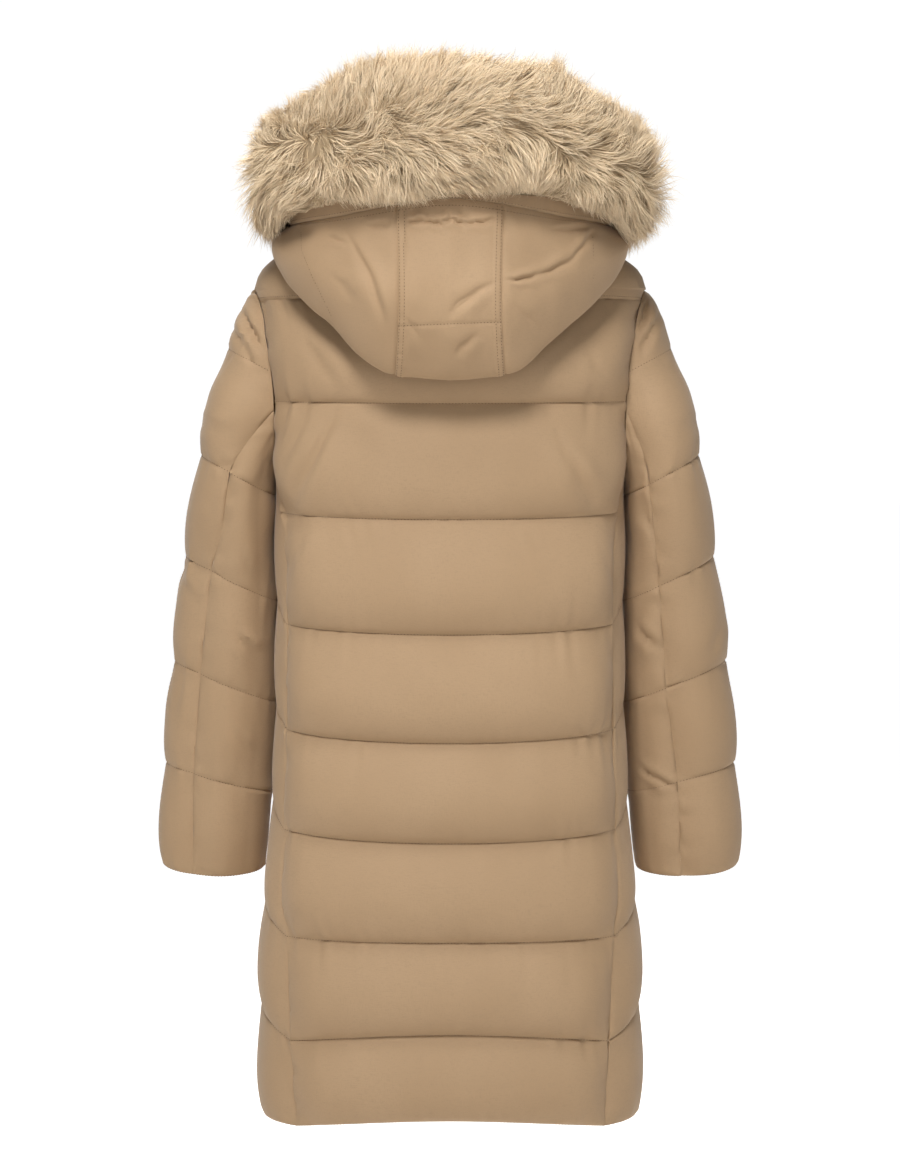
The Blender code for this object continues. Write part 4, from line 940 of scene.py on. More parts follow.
def make_front(name, mirrored, seed, material):
    rows = puff_rows(0.0, 7.0)
    shoulder = 8.0 - (1.0 - np.linspace(0.0, 1.0, 40)[1:]) ** 2
    rows = np.concatenate([rows, shoulder])
    outer = height_at(FRONT_SIDE_HEIGHTS, rows)
    inner = height_at(FRONT_EDGE_HEIGHTS, rows)
    angle = np.where(outer <= SIDE_JOIN, SIDE_SEAM_ANGLE, edge_angle(ARMHOLE_FRONT, outer))
    share = shares_of(SHOULDER_ROWS)[1:]
    seam_angle, seam_height = shoulder_seam(share)
    table = np.stack([np.concatenate([rows, 8.0 + 0.98 * share]),
                      np.concatenate([angle, seam_angle]),
                      np.concatenate([outer, seam_height]),
                      np.concatenate([inner, blend(FRONT_EDGE_HEIGHTS[-1], 0.0, share)])], -1)
    rows, angle, outer, inner = whole_ribs(table).T
    edge = -halve(lambda a: torso(-a, inner)[..., 0] > ZIP_CHANNEL, np.full_like(inner, 0.2),
                  0.5 * math.pi)
    angles = even_angles(edge, angle, outer, FRONT_COLUMNS)
    heights = ruled(inner, outer, shares_of(FRONT_COLUMNS))
    beside = np.clip((UNDER_ARM_ANGLE - angles) / (UNDER_ARM_ANGLE - SIDE_SEAM_ANGLE), 0.0, 1.0)
    height = FRONT_PUFF * blend(1.0, UNDER_ARM_SHARE, beside * beside_arm(heights))
    quilt = np.minimum(rows, 8.0 - 1e-4)
    body_shell(name, angles, heights, quilt, height, ("end", "top"), seed, material, mirrored,
               stitch_lines=range(0, 8))


def make_yoke(material):
    rise = np.linspace(0.0, 0.94, 9)
    level = blend(YOKE_SEAM, SHOULDER_HEIGHT, rise)
    share = np.linspace(0.0, 1.0, 32)
    seam_angle, seam_height = shoulder_seam(share)
    start = np.concatenate([edge_angle(ARMHOLE_BACK, level), seam_angle])
    height = np.concatenate([level, seam_height])
    table = whole_ribs(np.stack([start, height], -1))
    start, height = table.T
    angles = even_angles(start, math.pi - start, height, BACK_COLUMNS)
    heights = np.repeat(height[:, None], BACK_COLUMNS + 1, axis=1)
    surface = torso(angles, heights)
    along, up = cumulative(surface, 1), cumulative(surface, 0)
    beside, between = from_ends(along, 1), from_ends(up, 0)
    away = np.minimum(beside, between)
    puff = YOKE_PUFF * swell(between, SEAM_RISE) * swell(beside, YOKE_SIDE_RISE)
    puff += 0.0012 * noise(along / 0.050, up / 0.040, 61) * np.minimum(1.0, away / 0.02)
    puff += 0.0006 * noise(along / 0.008, up / 0.050, 62) * np.exp(-away / 0.010)
    puff -= groove(away, *YOKE_GROOVE)
    surface = pull_in(surface, CLOTH_GAP, ("start", "end", "bottom", "top"))
    normals = normals_of(torso, angles, heights, TORSO_STEP)
    outside = raise_shell("yoke", surface, normals, puff, WALL, material)
    stitch_along(outside[2] + 0.0001 * normals[2], normals[2])


# ---------------------------------------------------------------- the sleeves

def sleeve_shell(name, angles, stations, quilt, mirrored, seed, material, seam_gap):
    stations = stations - CUFF_BOW * np.maximum(0.0, np.sin(angles)) \
        * np.maximum(0.0, 1.0 - stations)
    surface = pull_in(sleeve(angles, stations), seam_gap, ("start", "end"))
    normals = normals_of(sleeve, angles, stations, SLEEVE_STEP)
    facing = np.maximum(0.0, -np.cos(angles))
    height = blend(SLEEVE_PUFF, SLEEVE_INSIDE_PUFF, np.minimum(1.0, 1.6 * facing))
    height = height * (blend(1.0, 0.15, ease((stations - 4.55) / 0.45))
                       + 0.55 * ease((stations - 5.45) / 0.30))
    relief = quilting(name, surface, quilt, height, seed, PUCKER, mirrored, SLEEVE_FULLNESS)
    for station, reach, fill in UNDER_ARM_FILL:
        relief += fill * ease((facing - 0.6) / 0.3) * bell(stations - station, reach)
    outside = raise_shell(name, surface, normals, relief, WALL, material, mirrored,
                          top_gap=CLOTH_GAP)
    for line in range(0, 6):
        r = int(np.argmin(np.abs(quilt - line)))
        if abs(quilt[r] - line) < 0.02 and r < len(quilt) - 1:
            stitch_along(outside[r], normals[r], mirrored)


def make_sleeve(side, mirrored, seed, material):
    columns = SLEEVE_COLUMNS
    rows = puff_rows(0.0, 5.0, SLEEVE_ROWS_PER_PUFF)
    rows = np.unique(np.concatenate([rows, [SLEEVE_SEAM_TOP]]))
    share = 1.0 - (1.0 - np.linspace(0.0, 1.0, 30)[1:]) ** 2
    stations = np.concatenate([rows, blend(5.0, SHOULDER, share)])
    quilt = np.concatenate([rows, 5.0 + 0.999 * share])
    table = whole_ribs(np.stack([stations, quilt], -1))
    stations, quilt = table.T
    back, front = sleeve_seam(side, stations)
    beyond = stations > SLEEVE_SEAM_TOP
    back = np.where(beyond, armhole_angle(stations, 1), back)
    front = np.where(beyond, armhole_angle(stations, -1), front)
    back[-1], front[-1] = 0.0, 0.0
    shares = shares_of(columns)
    angles = ruled(front, back, shares)
    stations = np.repeat(stations[:, None], columns + 1, axis=1)
    sleeve_shell("sleeve_outer_" + side, angles, stations, quilt, mirrored, seed, material,
                 CLOTH_GAP)

    rows = puff_rows(0.0, 4.0, SLEEVE_ROWS_PER_PUFF)
    back, front = sleeve_seam(side, rows)
    low = ruled(back, front + 2.0 * math.pi, shares)
    low_stations = np.repeat(rows[:, None], columns + 1, axis=1)
    back_end, front_end = (float(armhole_angle(np.array(SLEEVE_SEAM_TOP), way)) for way in (1, -1))
    top = blend(back_end, front_end + 2.0 * math.pi, shares)
    top_stations = armhole_station(np.where(top <= math.pi, top, top - 2.0 * math.pi))
    rise = np.linspace(0.0, 1.0, 21)[1:, None]
    angles = np.concatenate([low, blend(low[-1], top, rise)])
    stations = np.concatenate([low_stations, blend(low_stations[-1], top_stations, rise)])
    quilt = np.concatenate([rows, 4.0 + 0.999 * rise[:, 0]])
    table = whole_ribs(np.concatenate([quilt[:, None], angles, stations], axis=1))
    quilt, angles, stations = table[:, 0], table[:, 1:columns + 2], table[:, columns + 2:]
    sleeve_shell("sleeve_inner_" + side, angles, stations, quilt, mirrored, seed + 7, material,
                 0.0)


# ---------------------------------------------------------------- collar, hood and band

def make_collar(material):
    edge = math.asin(ZIP_CHANNEL / TORSO[-1].front_depth)
    angles = np.linspace(-0.5 * math.pi + edge, 1.5 * math.pi - edge, COLLAR_COLUMNS + 1)[None, :]
    rises = shares_of(COLLAR_ROWS)[:, None]
    angles, rises = np.broadcast_arrays(angles, rises)
    surface = collar(angles, rises)
    normals = collar_normal(angles, rises)
    puff = COLLAR_PUFF * np.sin(math.pi * rises) + COLLAR_EDGE_PUFF
    edge_way = np.minimum(rises, 1.0 - rises) * COLLAR_HEIGHT
    puff = puff + 0.0005 * noise(angles * 9.0, rises * 2.0, 71) * np.exp(-edge_way / 0.012)
    puff = puff - groove(edge_way - COLLAR_STITCH, *COLLAR_GROOVE)
    outside = raise_shell("collar", surface, normals, puff, WALL, material)
    for r in COLLAR_STITCH_ROWS:
        stitch_along(outside[r], normals[r])


def hood_rows():
    hidden = np.linspace(0.0, HOOD_HIDDEN, HOOD_ROWS[0] + 1)[:-1]
    return np.concatenate([hidden, np.linspace(HOOD_HIDDEN, 1.0, HOOD_ROWS[1] + 1)])


def hood_relief(name, surface, shares, alongs):
    up = cumulative(surface, 0)
    from_seam = np.abs(np.abs(shares) - HOOD_SEAM)
    across = cumulative(surface, 1)
    seam_way = np.where(from_seam[0, 0] < 1e-6, across, across[:, -1:] - across)
    if name == "hood_centre":
        seam_way = from_ends(across, 1)
    relief = 0.0030 * noise(surface[..., 0] / 0.045 + 9.0, surface[..., 2] / 0.038, 81)
    relief = relief + 0.0010 * noise(surface[..., 0] / 0.018, surface[..., 2] / 0.024, 82)
    relief = relief * np.minimum(1.0, seam_way / 0.012) * ease((1.0 - alongs) / 0.06)
    if name == "hood_centre":
        strip = 1.0 - ease((seam_way - WELT_WIDTH) / 0.0012)
        ladder = 0.5 + 0.5 * noise(up / 0.0042, seam_way / 0.02, 83)
        low = ease((0.80 - alongs) / 0.10)
        relief = relief + WELT_RISE * strip + 0.0008 * strip * (ladder - 0.5) * (0.3 + 0.7 * low)
    relief = relief - groove(seam_way, *HOOD_SEAM_GROOVE)
    rim_way = up[-1:, :] - up
    relief = relief - groove(rim_way, *HOOD_RIM_GROOVE)
    relief = relief + 0.0006 * noise(across / 0.0080, rim_way / 0.03, 84) * np.exp(-rim_way / 0.014)
    if name == "hood_centre":
        level = blend(CROSS_STITCH_LEVEL[1], CROSS_STITCH_LEVEL[0], 0.5 + surface[..., 0] / 0.11)
        off = np.abs(surface[..., 2] - level)
        seen = alongs > 0.55
        relief = relief - groove(off, *CROSS_GROOVE) * seen
        relief = relief + 0.0005 * noise(surface[..., 0] / 0.007, off / 0.03, 85) \
            * np.exp(-off / 0.009) * seen
    return relief + crease_relief(name, surface, False) * ease((alongs - 0.5) / 0.06)


def make_hood(material):
    grids = {}
    for name, start, end, columns in (
            ("hood_centre", -HOOD_SEAM, HOOD_SEAM, HOOD_CENTRE_COLUMNS),
            ("hood_left", HOOD_SEAM, 1.0, HOOD_SIDE_COLUMNS),
            ("hood_right", -1.0, -HOOD_SEAM, HOOD_SIDE_COLUMNS)):
        along = whole_ribs(hood_rows())
        shares, alongs = np.meshgrid(np.linspace(start, end, columns + 1), along)
        surface = pull_in(hood(shares, alongs), CLOTH_GAP, ("start", "end"))
        up = hood(shares, np.minimum(1.0, alongs + HOOD_STEP)) \
            - hood(shares, np.maximum(0.0, alongs - HOOD_STEP))
        across = hood(np.minimum(1.0, shares + HOOD_STEP), alongs) \
            - hood(np.maximum(-1.0, shares - HOOD_STEP), alongs)
        normals = unit(np.cross(up, across))
        inward = normals.copy()
        inward[0] = np.array([0.0, 0.0, -1.0])
        inward[-1] = hood_out(shares[-1])
        relief = hood_relief(name, surface, shares, alongs)
        outside = raise_shell(name, surface, normals, relief, HOOD_WALL, material, inward=inward)
        grids[name] = (outside, normals, alongs)
    seen = grids["hood_centre"][2][:, 0] > 0.50
    for at_start in (True, False):
        outside, normals, _ = grids["hood_centre"]
        across = cumulative(outside, 1)
        across = across if at_start else across[:, -1:] - across
        for distance in (0.0012, WELT_WIDTH - 0.0004):
            pick = np.argmin(np.abs(across - distance), axis=1)
            run = outside[np.arange(len(outside)), pick], normals[np.arange(len(outside)), pick]
            stitch_along(run[0][seen], run[1][seen])
    for stitch in HOOD_STITCHES:
        places = np.linspace(0.0, len(stitch.x) - 1.0, 80)
        index = np.arange(len(stitch.x))
        pin_stitches(grids[stitch.piece], np.interp(places, index, stitch.x),
                     np.interp(places, index, stitch.z))
    x = np.linspace(0.053, -0.053, 60)
    pin_stitches(grids["hood_centre"], x, np.linspace(*CROSS_STITCH_LEVEL, 60))
    for outside, normals, _ in grids.values():
        stitch_along(outside[-5], normals[-5])


def pin_stitches(grid, x, z):
    """Stitches on the nearest points of a grid to a line seen from the back."""
    outside, normals, alongs = grid
    seen = alongs > 0.5
    points, outs = outside[seen], normals[seen]
    pick = [int(np.argmin((points[:, 0] - a) ** 2 + (points[:, 2] - b) ** 2)) for a, b in zip(x, z)]
    run = points[pick].copy()
    run[:, 0], run[:, 2] = x, z
    stitch_along(run, outs[pick])


def band_grid(shares, rises):
    shares, rises = np.meshgrid(shares, rises)
    points = hood_curve(shares, "rim")
    low = SEAM_GAP + rim_lift(shares)
    points[..., 2] += blend(low, SEAM_GAP + BAND_HEIGHT, rises)
    return points, hood_out(shares)


def make_band(material):
    shares, rises = np.linspace(-1.0, 1.0, BAND_COLUMNS + 1), shares_of(BAND_ROWS)
    surface, out = band_grid(shares, rises)
    along = cumulative(surface, 1)
    relief = 0.0006 * noise(along / 0.011, np.zeros_like(along), 91) + 0.0004
    relief = relief - groove(rises[:, None], *BAND_GROOVE)
    outside = raise_shell("hood_band", surface, out, relief, HOOD_WALL, material)
    stitch_along(outside[2], out[2])


# ---------------------------------------------------------------- the fur

# Where the pile is combed, seen straight from the back: a place in millimetres and the way that
# tips point there, in degrees from the viewer's right and turning upwards.
COMBS = (
    (186, 103, 118), (166, 101, 72), (150, 135, 95), (124, 119, 55), (99, 119, 75), (78, 108, 85),
    (79, 156, 85), (44, 162, 74), (10, 162, 65), (-25, 164, 55), (-59, 163, 36), (-70, 157, 42),
    (-90, 153, 62), (-118, 146, 92), (-105, 133, 80), (-131, 119, 60), (-172, 113, 80),
    (-192, 113, 75), (-205, 73, 58), (-214, 59, 55), (79, 121, 88), (50, 110, 50), (56, 95, 25),
    (33, 121, 55), (10, 116, 50), (-13, 133, 45), (-48, 139, 35), (-71, 124, 20), (38, 87, 15),
    (10, 93, 30), (-25, 104, 15), (-59, 102, 5), (-90, 106, 7), (-118, 90, 10), (-145, 106, 40),
    (-145, 90, 33), (-178, 79, 60), (-185, 93, 65), (98, 80, -4), (78, 92, 58), (88, 58, -6),
    (124, 56, -60), (120, 82, -30), (148, 84, 215), (170, 72, 235), (190, 61, 226), (160, 51, 206),
    (150, 43, 215), (118, 36, -85), (109, 46, -60), (77, 36, -76), (57, 46, -60), (44, 75, -22),
    (27, 67, -20), (-2, 70, 0), (38, 58, -50), (21, 52, -40), (-8, 52, -25), (-36, 58, -10),
    (50, 47, -86), (67, 41, -84), (-36, 79, -34), (-59, 75, -60), (-65, 64, -68), (-48, 47, -40),
    (-71, 52, -50), (-59, 36, -95), (-83, 67, -75), (-94, 59, -110), (-105, 48, 200),
    (-145, 66, -22), (-172, 59, -10), (-131, 52, -30), (-158, 46, -20), (-185, 46, -75),
    (-198, 26, -72), (-145, 28, -90), (-165, 26, -80), (-185, 6, -66), (-198, -8, -50),
    (-192, -28, -75), (-209, -1, -40), (-218, 38, 20), (-220, 14, -30), (198, 30, 250),
    (206, 40, 200), (208, 62, 190), (196, 8, 265), (190, -10, -75), (140, 101, 62), (139, 93, 30),
    (132, 107, 75),
)
COMB_REACH = 0.011

# Clefts where the pile parts and its roots show: a place seen from the back and a reach.
# Strands in a cleft are also painted darker: painted shade in the cleft, on top of the roots that
# show.
CLEFTS = (
    (136, 83, 7), (141, 77, 6), (154, 59, 6.5), (170, 50, 6), (112, 53, 5), (62, 101, 6),
    (66, 89, 5), (-36, 79, 5.5), (-46, 87, 5), (-64, 44, 3.5), (-58, 120, 4.5), (-112, 99, 4),
    (-150, 58, 4.5), (-118, 60, 4.5), (170, 104, 4.5), (55, 60, 4), (-165, 85, 4), (100, 70, 3.5),
)

# The line that the pile hangs down to, seen from the back, in metres.
FUR_EDGE = Curve((-0.220, -0.190, -0.181, -0.176, -0.131, -0.116, -0.070, -0.025, 0.062, 0.141,
                  0.168, 0.176, 0.188, 0.210),
                 (-0.004, -0.024, -0.020, 0.003, 0.022, 0.036, 0.034, 0.024, 0.019, 0.031,
                  0.019, -0.002, -0.010, 0.004))


def fur_core(share, turn):
    """Points of the dense roll under the pile, which overhangs the band on its outer side."""
    reach_out = FUR_AT["reach_out"](np.abs(share)) - 0.013 - 0.008 * ease((share - 0.3) / 0.3)
    reach_out = np.maximum(0.008, reach_out)
    reach_in = np.maximum(0.004, FUR_AT["reach_in"](np.abs(share)) - 0.014)
    foot = hood_curve(share, "rim")
    outer = np.cos(turn) > 0.0
    overhang = 0.010 * (1.0 - 1.3 * ease((np.abs(share) - 0.50) / 0.15))
    low = np.where(outer, FUR_AT["bottom"](np.abs(share)) + rim_lift(share) + overhang,
                   BAND_HEIGHT + 0.0012)
    high = FUR_AT["top"](np.abs(share)) - 0.017
    power = 2.0 / FUR_SQUARENESS
    end = np.clip((np.abs(share) - FUR_END) / (1.0 - FUR_END), 0.0, 0.95)
    narrow = np.sqrt(1.0 - end ** 2)
    side = signed_power(np.cos(turn), power) * narrow
    side = np.where(outer, np.maximum(side * reach_out, 0.0040), side * reach_in)
    level = 0.5 * (low + high) + 0.5 * (high - low) * signed_power(np.sin(turn), power) * narrow
    points = foot + hood_out(share) * side[..., None]
    points[..., 2] += level
    return points


def fur_frame(share, turn):
    """Core points with the ways out of the roll, round its section and along it."""
    points = fur_core(share, turn)
    around = unit(fur_core(share, turn + 0.03) - fur_core(share, turn - 0.03))
    along = unit(fur_core(share + 0.01, turn) - fur_core(share - 0.01, turn))
    return points, unit(np.cross(around, along)), around, along


def combed(points):
    """The way that the pile is combed at each point, flat to a viewer behind the coat."""
    table = np.array(COMBS) / (1000.0, 1000.0, 1.0)
    angles = np.radians(table[:, 2])
    ways = np.stack([-np.cos(angles), np.sin(angles)], -1)
    flow = np.empty((len(points), 2))
    for start in range(0, len(points), 8192):
        part = slice(start, start + 8192)
        offset = points[part, None, :][..., [0, 2]] - table[None, :, :2]
        distance = np.sum(offset ** 2, axis=-1)
        distance -= distance.min(axis=1, keepdims=True)
        weight = np.exp(-distance / (2.0 * COMB_REACH ** 2))
        flow[part] = weight @ ways
    flow = unit(flow)
    return np.stack([flow[:, 0], np.zeros(len(flow)), flow[:, 1]], -1)


def fur_strands(pick, low_share, high_share):
    """Polylines of strands that gather into locks, their tones, darkened in clefts as painted
    shade, and how deep in a cleft they are.
    """
    count, locks = FUR_STRANDS, FUR_STRANDS // STRANDS_PER_LOCK
    lock_share = pick.uniform(low_share, high_share, locks)
    lock_turn = np.radians(pick.uniform(-84.0, 262.0, locks))
    which = pick.randint(0, locks, count)
    spread = pick.normal(0.0, 1.0, (count, 2))
    share = np.clip(lock_share[which] + LOCK_SPREAD[0] * spread[:, 0], -FUR_REACH, FUR_REACH)
    turn = np.clip(lock_turn[which] + LOCK_SPREAD[1] * spread[:, 1],
                   math.radians(-88.0), math.radians(266.0))
    root, out, around, along = fur_frame(share, turn)
    behind = ease((out[:, 1] + 0.30) / 0.55)[:, None]
    sway = noise(share * 9.0, turn * 1.9, 301)[:, None]
    free = -around * (0.75 + 0.5 * noise(share * 5.0, turn * 2.3, 302))[:, None] \
        + along * 1.1 * sway
    free = free + along * (np.sign(share) * ease((np.abs(share) - FUR_END) / 0.06))[:, None]
    cleft = np.zeros(count)
    for x, z, reach in np.array(CLEFTS) / 1000.0:
        off = (root[:, 0] - x) ** 2 + (root[:, 2] - z) ** 2
        cleft = np.maximum(cleft, np.exp(-off / (2.0 * reach ** 2)))
    cleft *= behind[:, 0]
    lean = pick.normal(0.0, LOCK_LEAN, (locks, 3))[which] \
        + pick.normal(0.0, STRAND_LEAN, (count, 3))
    lean *= 1.0 + 3.0 * cleft[:, None]
    length = pick.uniform(0.80, 1.15, locks)[which] * pick.uniform(0.75, 1.10, count)
    length *= blend(*STRAND_LENGTHS, ease(root[:, 2] / 0.09))
    reach, level = np.abs(root[:, 0]), root[:, 2]
    length *= 1.0 - 0.38 * ease((reach - 0.10) / 0.05) * ease((level - 0.065) / 0.03)
    length *= 1.0 + 0.25 * ease((reach - 0.16) / 0.03) * ease((0.045 - level) / 0.03)
    line = [root]
    for step, (part, lift) in enumerate(zip(STRAND_STEPS, STRAND_LIFTS)):
        way = blend(unit(free), combed(line[-1]), behind * (1.0 - CLEFT_STRAY * cleft[:, None]))
        way = way - 0.62 * out * np.sum(way * out, axis=-1, keepdims=True)
        way = unit(way) + lean * (1.0 + 0.5 * step) + out * (lift + 0.9 * cleft[:, None])
        way[:, 2] -= 0.05 * step * step
        line.append(line[-1] + unit(way) * (length * part)[:, None])
    line = np.stack(line, 1)
    centre = 0.30 * (LOCK_SPREAD[0] * 0.30 * spread[:, :1] * along
                     + LOCK_SPREAD[1] * 0.07 * spread[:, 1:] * around)
    line -= centre[:, None] * np.array(LOCK_PULL)[None, :, None]
    floor = FUR_EDGE(line[:, -1, 0]) + pick.normal(-0.001, 0.0030, count)
    drop = root[:, 2] - line[:, -1, 2]
    room = np.maximum(root[:, 2] - floor, 0.002)
    shrink = np.where((drop > room) & (behind[:, 0] > 0.3), room / np.maximum(drop, 1e-6), 1.0)
    line = root[:, None] + (line - root[:, None]) * np.maximum(shrink, 0.15)[:, None, None]
    past = np.maximum(line[..., 1] - FUR_DEPTH, 0.0)
    line[..., 1] += FUR_PRESS * np.tanh(past / FUR_PRESS) - past
    tone = STRAND_TONES[0] * pick.uniform(0.0, 1.0, locks)[which] \
        + STRAND_TONES[1] * pick.uniform(0.0, 1.0, count)
    # A strand's tone is darker in a cleft: painted shade.
    return line, out, tone * (1.0 - 0.4 * cleft), cleft


def fur_piece(name, seed, low_share, high_share, material):
    pick = np.random.RandomState(seed)
    line, out, tone, cleft = fur_strands(pick, low_share, high_share)
    side = unit(np.cross(line[:, 2] - line[:, 0], out + 0.55 * pick.normal(0.0, 1.0, out.shape)))
    widths = pick.uniform(0.6, 1.15, FUR_STRANDS)[:, None] * np.array(STRAND_WIDTHS)
    spread = side[:, None] * (0.5 * widths)[..., None]
    points = np.concatenate([line[:, :3] - spread, line[:, :3] + spread, line[:, 3:]], axis=1)
    faces = repeated([(0, 3, 4, 1), (1, 4, 5, 2)], 7, FUR_STRANDS)
    faces += repeated([(2, 5, 6)], 7, FUR_STRANDS)
    # In a cleft the root colour runs further up the strand: painted shade in the cleft, on top of
    # the roots that show.
    tip = np.array([0.0, 0.34, 0.68, 0.0, 0.34, 0.68, 1.0]) * (1.0 - 0.5 * cleft[:, None])
    # The shade attribute is each lock's own tone, darkened in clefts as painted shade.
    shades = {"tip": tip.ravel(), "shade": np.repeat(tone, 7)}
    declare(mesh_object(name, points, faces, material, shades), "fur_trim")


def make_fur(material, under_material):
    shares = np.linspace(-CORE_END, CORE_END, CORE_RINGS + 1)
    turns = np.radians(np.linspace(-90.0, 270.0, CORE_SIDES + 1))
    share, turn = np.meshgrid(shares, turns, indexing="ij")
    points, out, _, _ = fur_frame(share, turn)
    inner = ease((270.0 - np.degrees(turn)) / 30.0) * ease((np.degrees(turn) + 90.0) / 30.0)
    tuft = 0.0022 * noise(share * 60.0, turn * 6.0, 101) \
        + 0.0016 * noise(share * 150.0, turn * 15.0, 102)
    points = points + out * (tuft * inner)[..., None]
    rings, sides = share.shape
    r, k = np.meshgrid(np.arange(rings - 1), np.arange(sides), indexing="ij")
    n = (k + 1) % sides
    faces = np.stack([r * sides + k, (r + 1) * sides + k, (r + 1) * sides + n, r * sides + n], -1)
    faces = faces.reshape(-1, 4).tolist()
    faces.append(list(range(sides)))
    faces.append([(rings - 1) * sides + j for j in range(sides)][::-1])
    core = mesh_object("fur_core", points, faces, under_material)
    declare(core, "fur_trim")
    for name, seed, low, high in (("fur_left", 201, FUR_SPLIT, FUR_REACH),
                                  ("fur_left_back", 202, 0.0, FUR_SPLIT),
                                  ("fur_right_back", 203, -FUR_SPLIT, 0.0),
                                  ("fur_right", 204, -FUR_REACH, -FUR_SPLIT)):
        fur_piece(name, seed, low, high, material)


# ---------------------------------------------------------------- the zip

def tape_place(height):
    """Front middle points of the zip's line and the way out of it."""
    front, low = np.full_like(height, -0.5 * math.pi), np.minimum(height, 0.0)
    on_collar = collar(front, np.clip(height / COLLAR_HEIGHT, 0.0, 1.0))
    above = (height > 0.0)[..., None]
    return (np.where(above, on_collar, torso(front, low)),
            np.where(above, np.array([0.0, -1.0, 0.0]), normals_of(torso, front, low, TORSO_STEP)))


def make_zip(material):
    """Teeth of the closed zip, which mesh along the middle of the two tapes."""
    heights = np.arange(ZIP_FOOT, COLLAR_HEIGHT - 0.002, 0.5 * TOOTH_PITCH)
    points, out = tape_place(heights)
    front = points - out * (WALL + SEAM_GAP + TAPE_SETBACK - 0.0008)
    side = np.where(np.arange(len(heights)) % 2 == 0, 1.0, -1.0)
    zero = np.zeros_like(side)
    centre = front + np.stack([0.0010 * side, zero, zero], -1)
    up = unit(np.gradient(points, axis=0))
    corners = []
    for sx, so, sz in ((-1, -1, -1), (1, -1, -1), (1, 1, -1), (-1, 1, -1),
                       (-1, -1, 1), (1, -1, 1), (1, 1, 1), (-1, 1, 1)):
        narrow = 0.75 if so > 0 else 1.0
        offset = np.stack([np.full(len(side), sx * TOOTH_HALF[0] * narrow), zero, zero], -1)
        corners.append(centre + offset + out * so * TOOTH_HALF[1]
                       + up * sz * TOOTH_HALF[2] * narrow)
    faces = repeated([(0, 3, 2, 1), (4, 5, 6, 7), (0, 1, 5, 4), (1, 2, 6, 5), (2, 3, 7, 6),
                      (3, 0, 4, 7)], 8, len(side))
    item = mesh_object("zip_teeth", np.stack(corners, 1), faces, material, smooth=False)
    declare(item)


# ---------------------------------------------------------------- materials

def new_material(name):
    material = bpy.data.materials.new(name)
    material.use_nodes = True
    tree = material.node_tree
    return material, tree, tree.nodes["Principled BSDF"]


def fill(tree, node, inputs):
    """Sets a node's inputs, and links those that are given another node's output."""
    for key, value in inputs.items():
        if isinstance(value, bpy.types.NodeSocket):
            tree.links.new(value, node.inputs[key])
        else:
            node.inputs[key].default_value = value


def add_node(tree, kind, inputs=None, **settings):
    node = tree.nodes.new(kind)
    for name, value in settings.items():
        setattr(node, name, value)
    fill(tree, node, inputs or {})
    return node


def object_place(tree):
    return add_node(tree, "ShaderNodeTexCoord").outputs["Object"]


def stretched_noise(tree, place, stretch, scale, detail=2.0):
    mapping = add_node(tree, "ShaderNodeMapping", {"Vector": place, "Scale": stretch})
    return add_node(tree, "ShaderNodeTexNoise", {"Vector": mapping.outputs["Vector"],
                                                 "Scale": scale, "Detail": detail}).outputs["Fac"]


def mix_colours(tree, factor, first, second):
    """A mix of two colours, which are inputs 6 and 7 and output 2 of the node."""
    return add_node(tree, "ShaderNodeMix", {0: factor, 6: first, 7: second},
                    data_type="RGBA").outputs[2]


def ramp(tree, value, start, end, low=0.0, high=1.0):
    """Runs from low to high while the value runs from start to end."""
    return add_node(tree, "ShaderNodeMapRange", {
        "Value": value, "From Min": start, "From Max": end,
        "To Min": low, "To Max": high}).outputs["Result"]


def darker(colour, share):
    return tuple(share * value for value in colour[:3]) + (1.0,)


def cloth_material(name, base, shade):
    """Fine woven cloth: crossed threads, a little uneven in tone, and a soft sheen."""
    material, tree, shader = new_material(name)
    place = object_place(tree)
    warp = stretched_noise(tree, place, (1.0, 1.0, 0.12), WEAVE_SCALE)
    weft = stretched_noise(tree, place, (0.12, 0.12, 1.0), WEAVE_SCALE)
    weave = add_node(tree, "ShaderNodeMath", {0: warp, 1: weft}, operation="ADD").outputs[0]
    patches = stretched_noise(tree, place, (1.0, 1.0, 1.0), 9.0, 3.0)
    tone = mix_colours(tree, ramp(tree, patches, 0.30, 0.72), shade, base)
    bump = add_node(tree, "ShaderNodeBump", {"Strength": 0.35, "Distance": 0.0003, "Height": weave})
    fill(tree, shader, {
        "Base Color": mix_colours(tree, ramp(tree, weave, 1.02, 0.62), tone, darker(base, 0.86)),
        "Roughness": 0.72, "Sheen Weight": 0.10, "Sheen Roughness": 0.45,
        "Specular IOR Level": 0.30, "Normal": bump.outputs["Normal"]})
    return material


def fur_material(name):
    """Hair that runs from a darker root to a pale tip, each lock a little different, and darker in
    the clefts, which is painted shade.
    """
    material, tree, shader = new_material(name)
    tip, shade = (add_node(tree, "ShaderNodeAttribute", attribute_name=label).outputs["Fac"]
                  for label in ("tip", "shade"))
    patches = stretched_noise(tree, object_place(tree), (1.0, 1.0, 1.0), 22.0)
    pale = mix_colours(tree, shade, FUR_WARM, FUR_TIP)
    pale = mix_colours(tree, ramp(tree, patches, 0.35, 0.75), pale, FUR_PALE)
    fill(tree, shader, {"Base Color": mix_colours(tree, ramp(tree, tip, 0.0, 0.7), FUR_ROOT, pale),
                        "Roughness": 0.55, "Specular IOR Level": 0.35})
    return material


def plain_material(name, colour, roughness, metallic=0.0, grain=0.0):
    material, tree, shader = new_material(name)
    speckle = stretched_noise(tree, object_place(tree), (1.0, 1.0, 0.4), 900.0)
    mixed = mix_colours(tree, speckle, darker(colour, 1.0 - grain), colour)
    fill(tree, shader, {"Base Color": mixed, "Roughness": roughness, "Metallic": metallic})
    return material


# ---------------------------------------------------------------- stage, light and camera

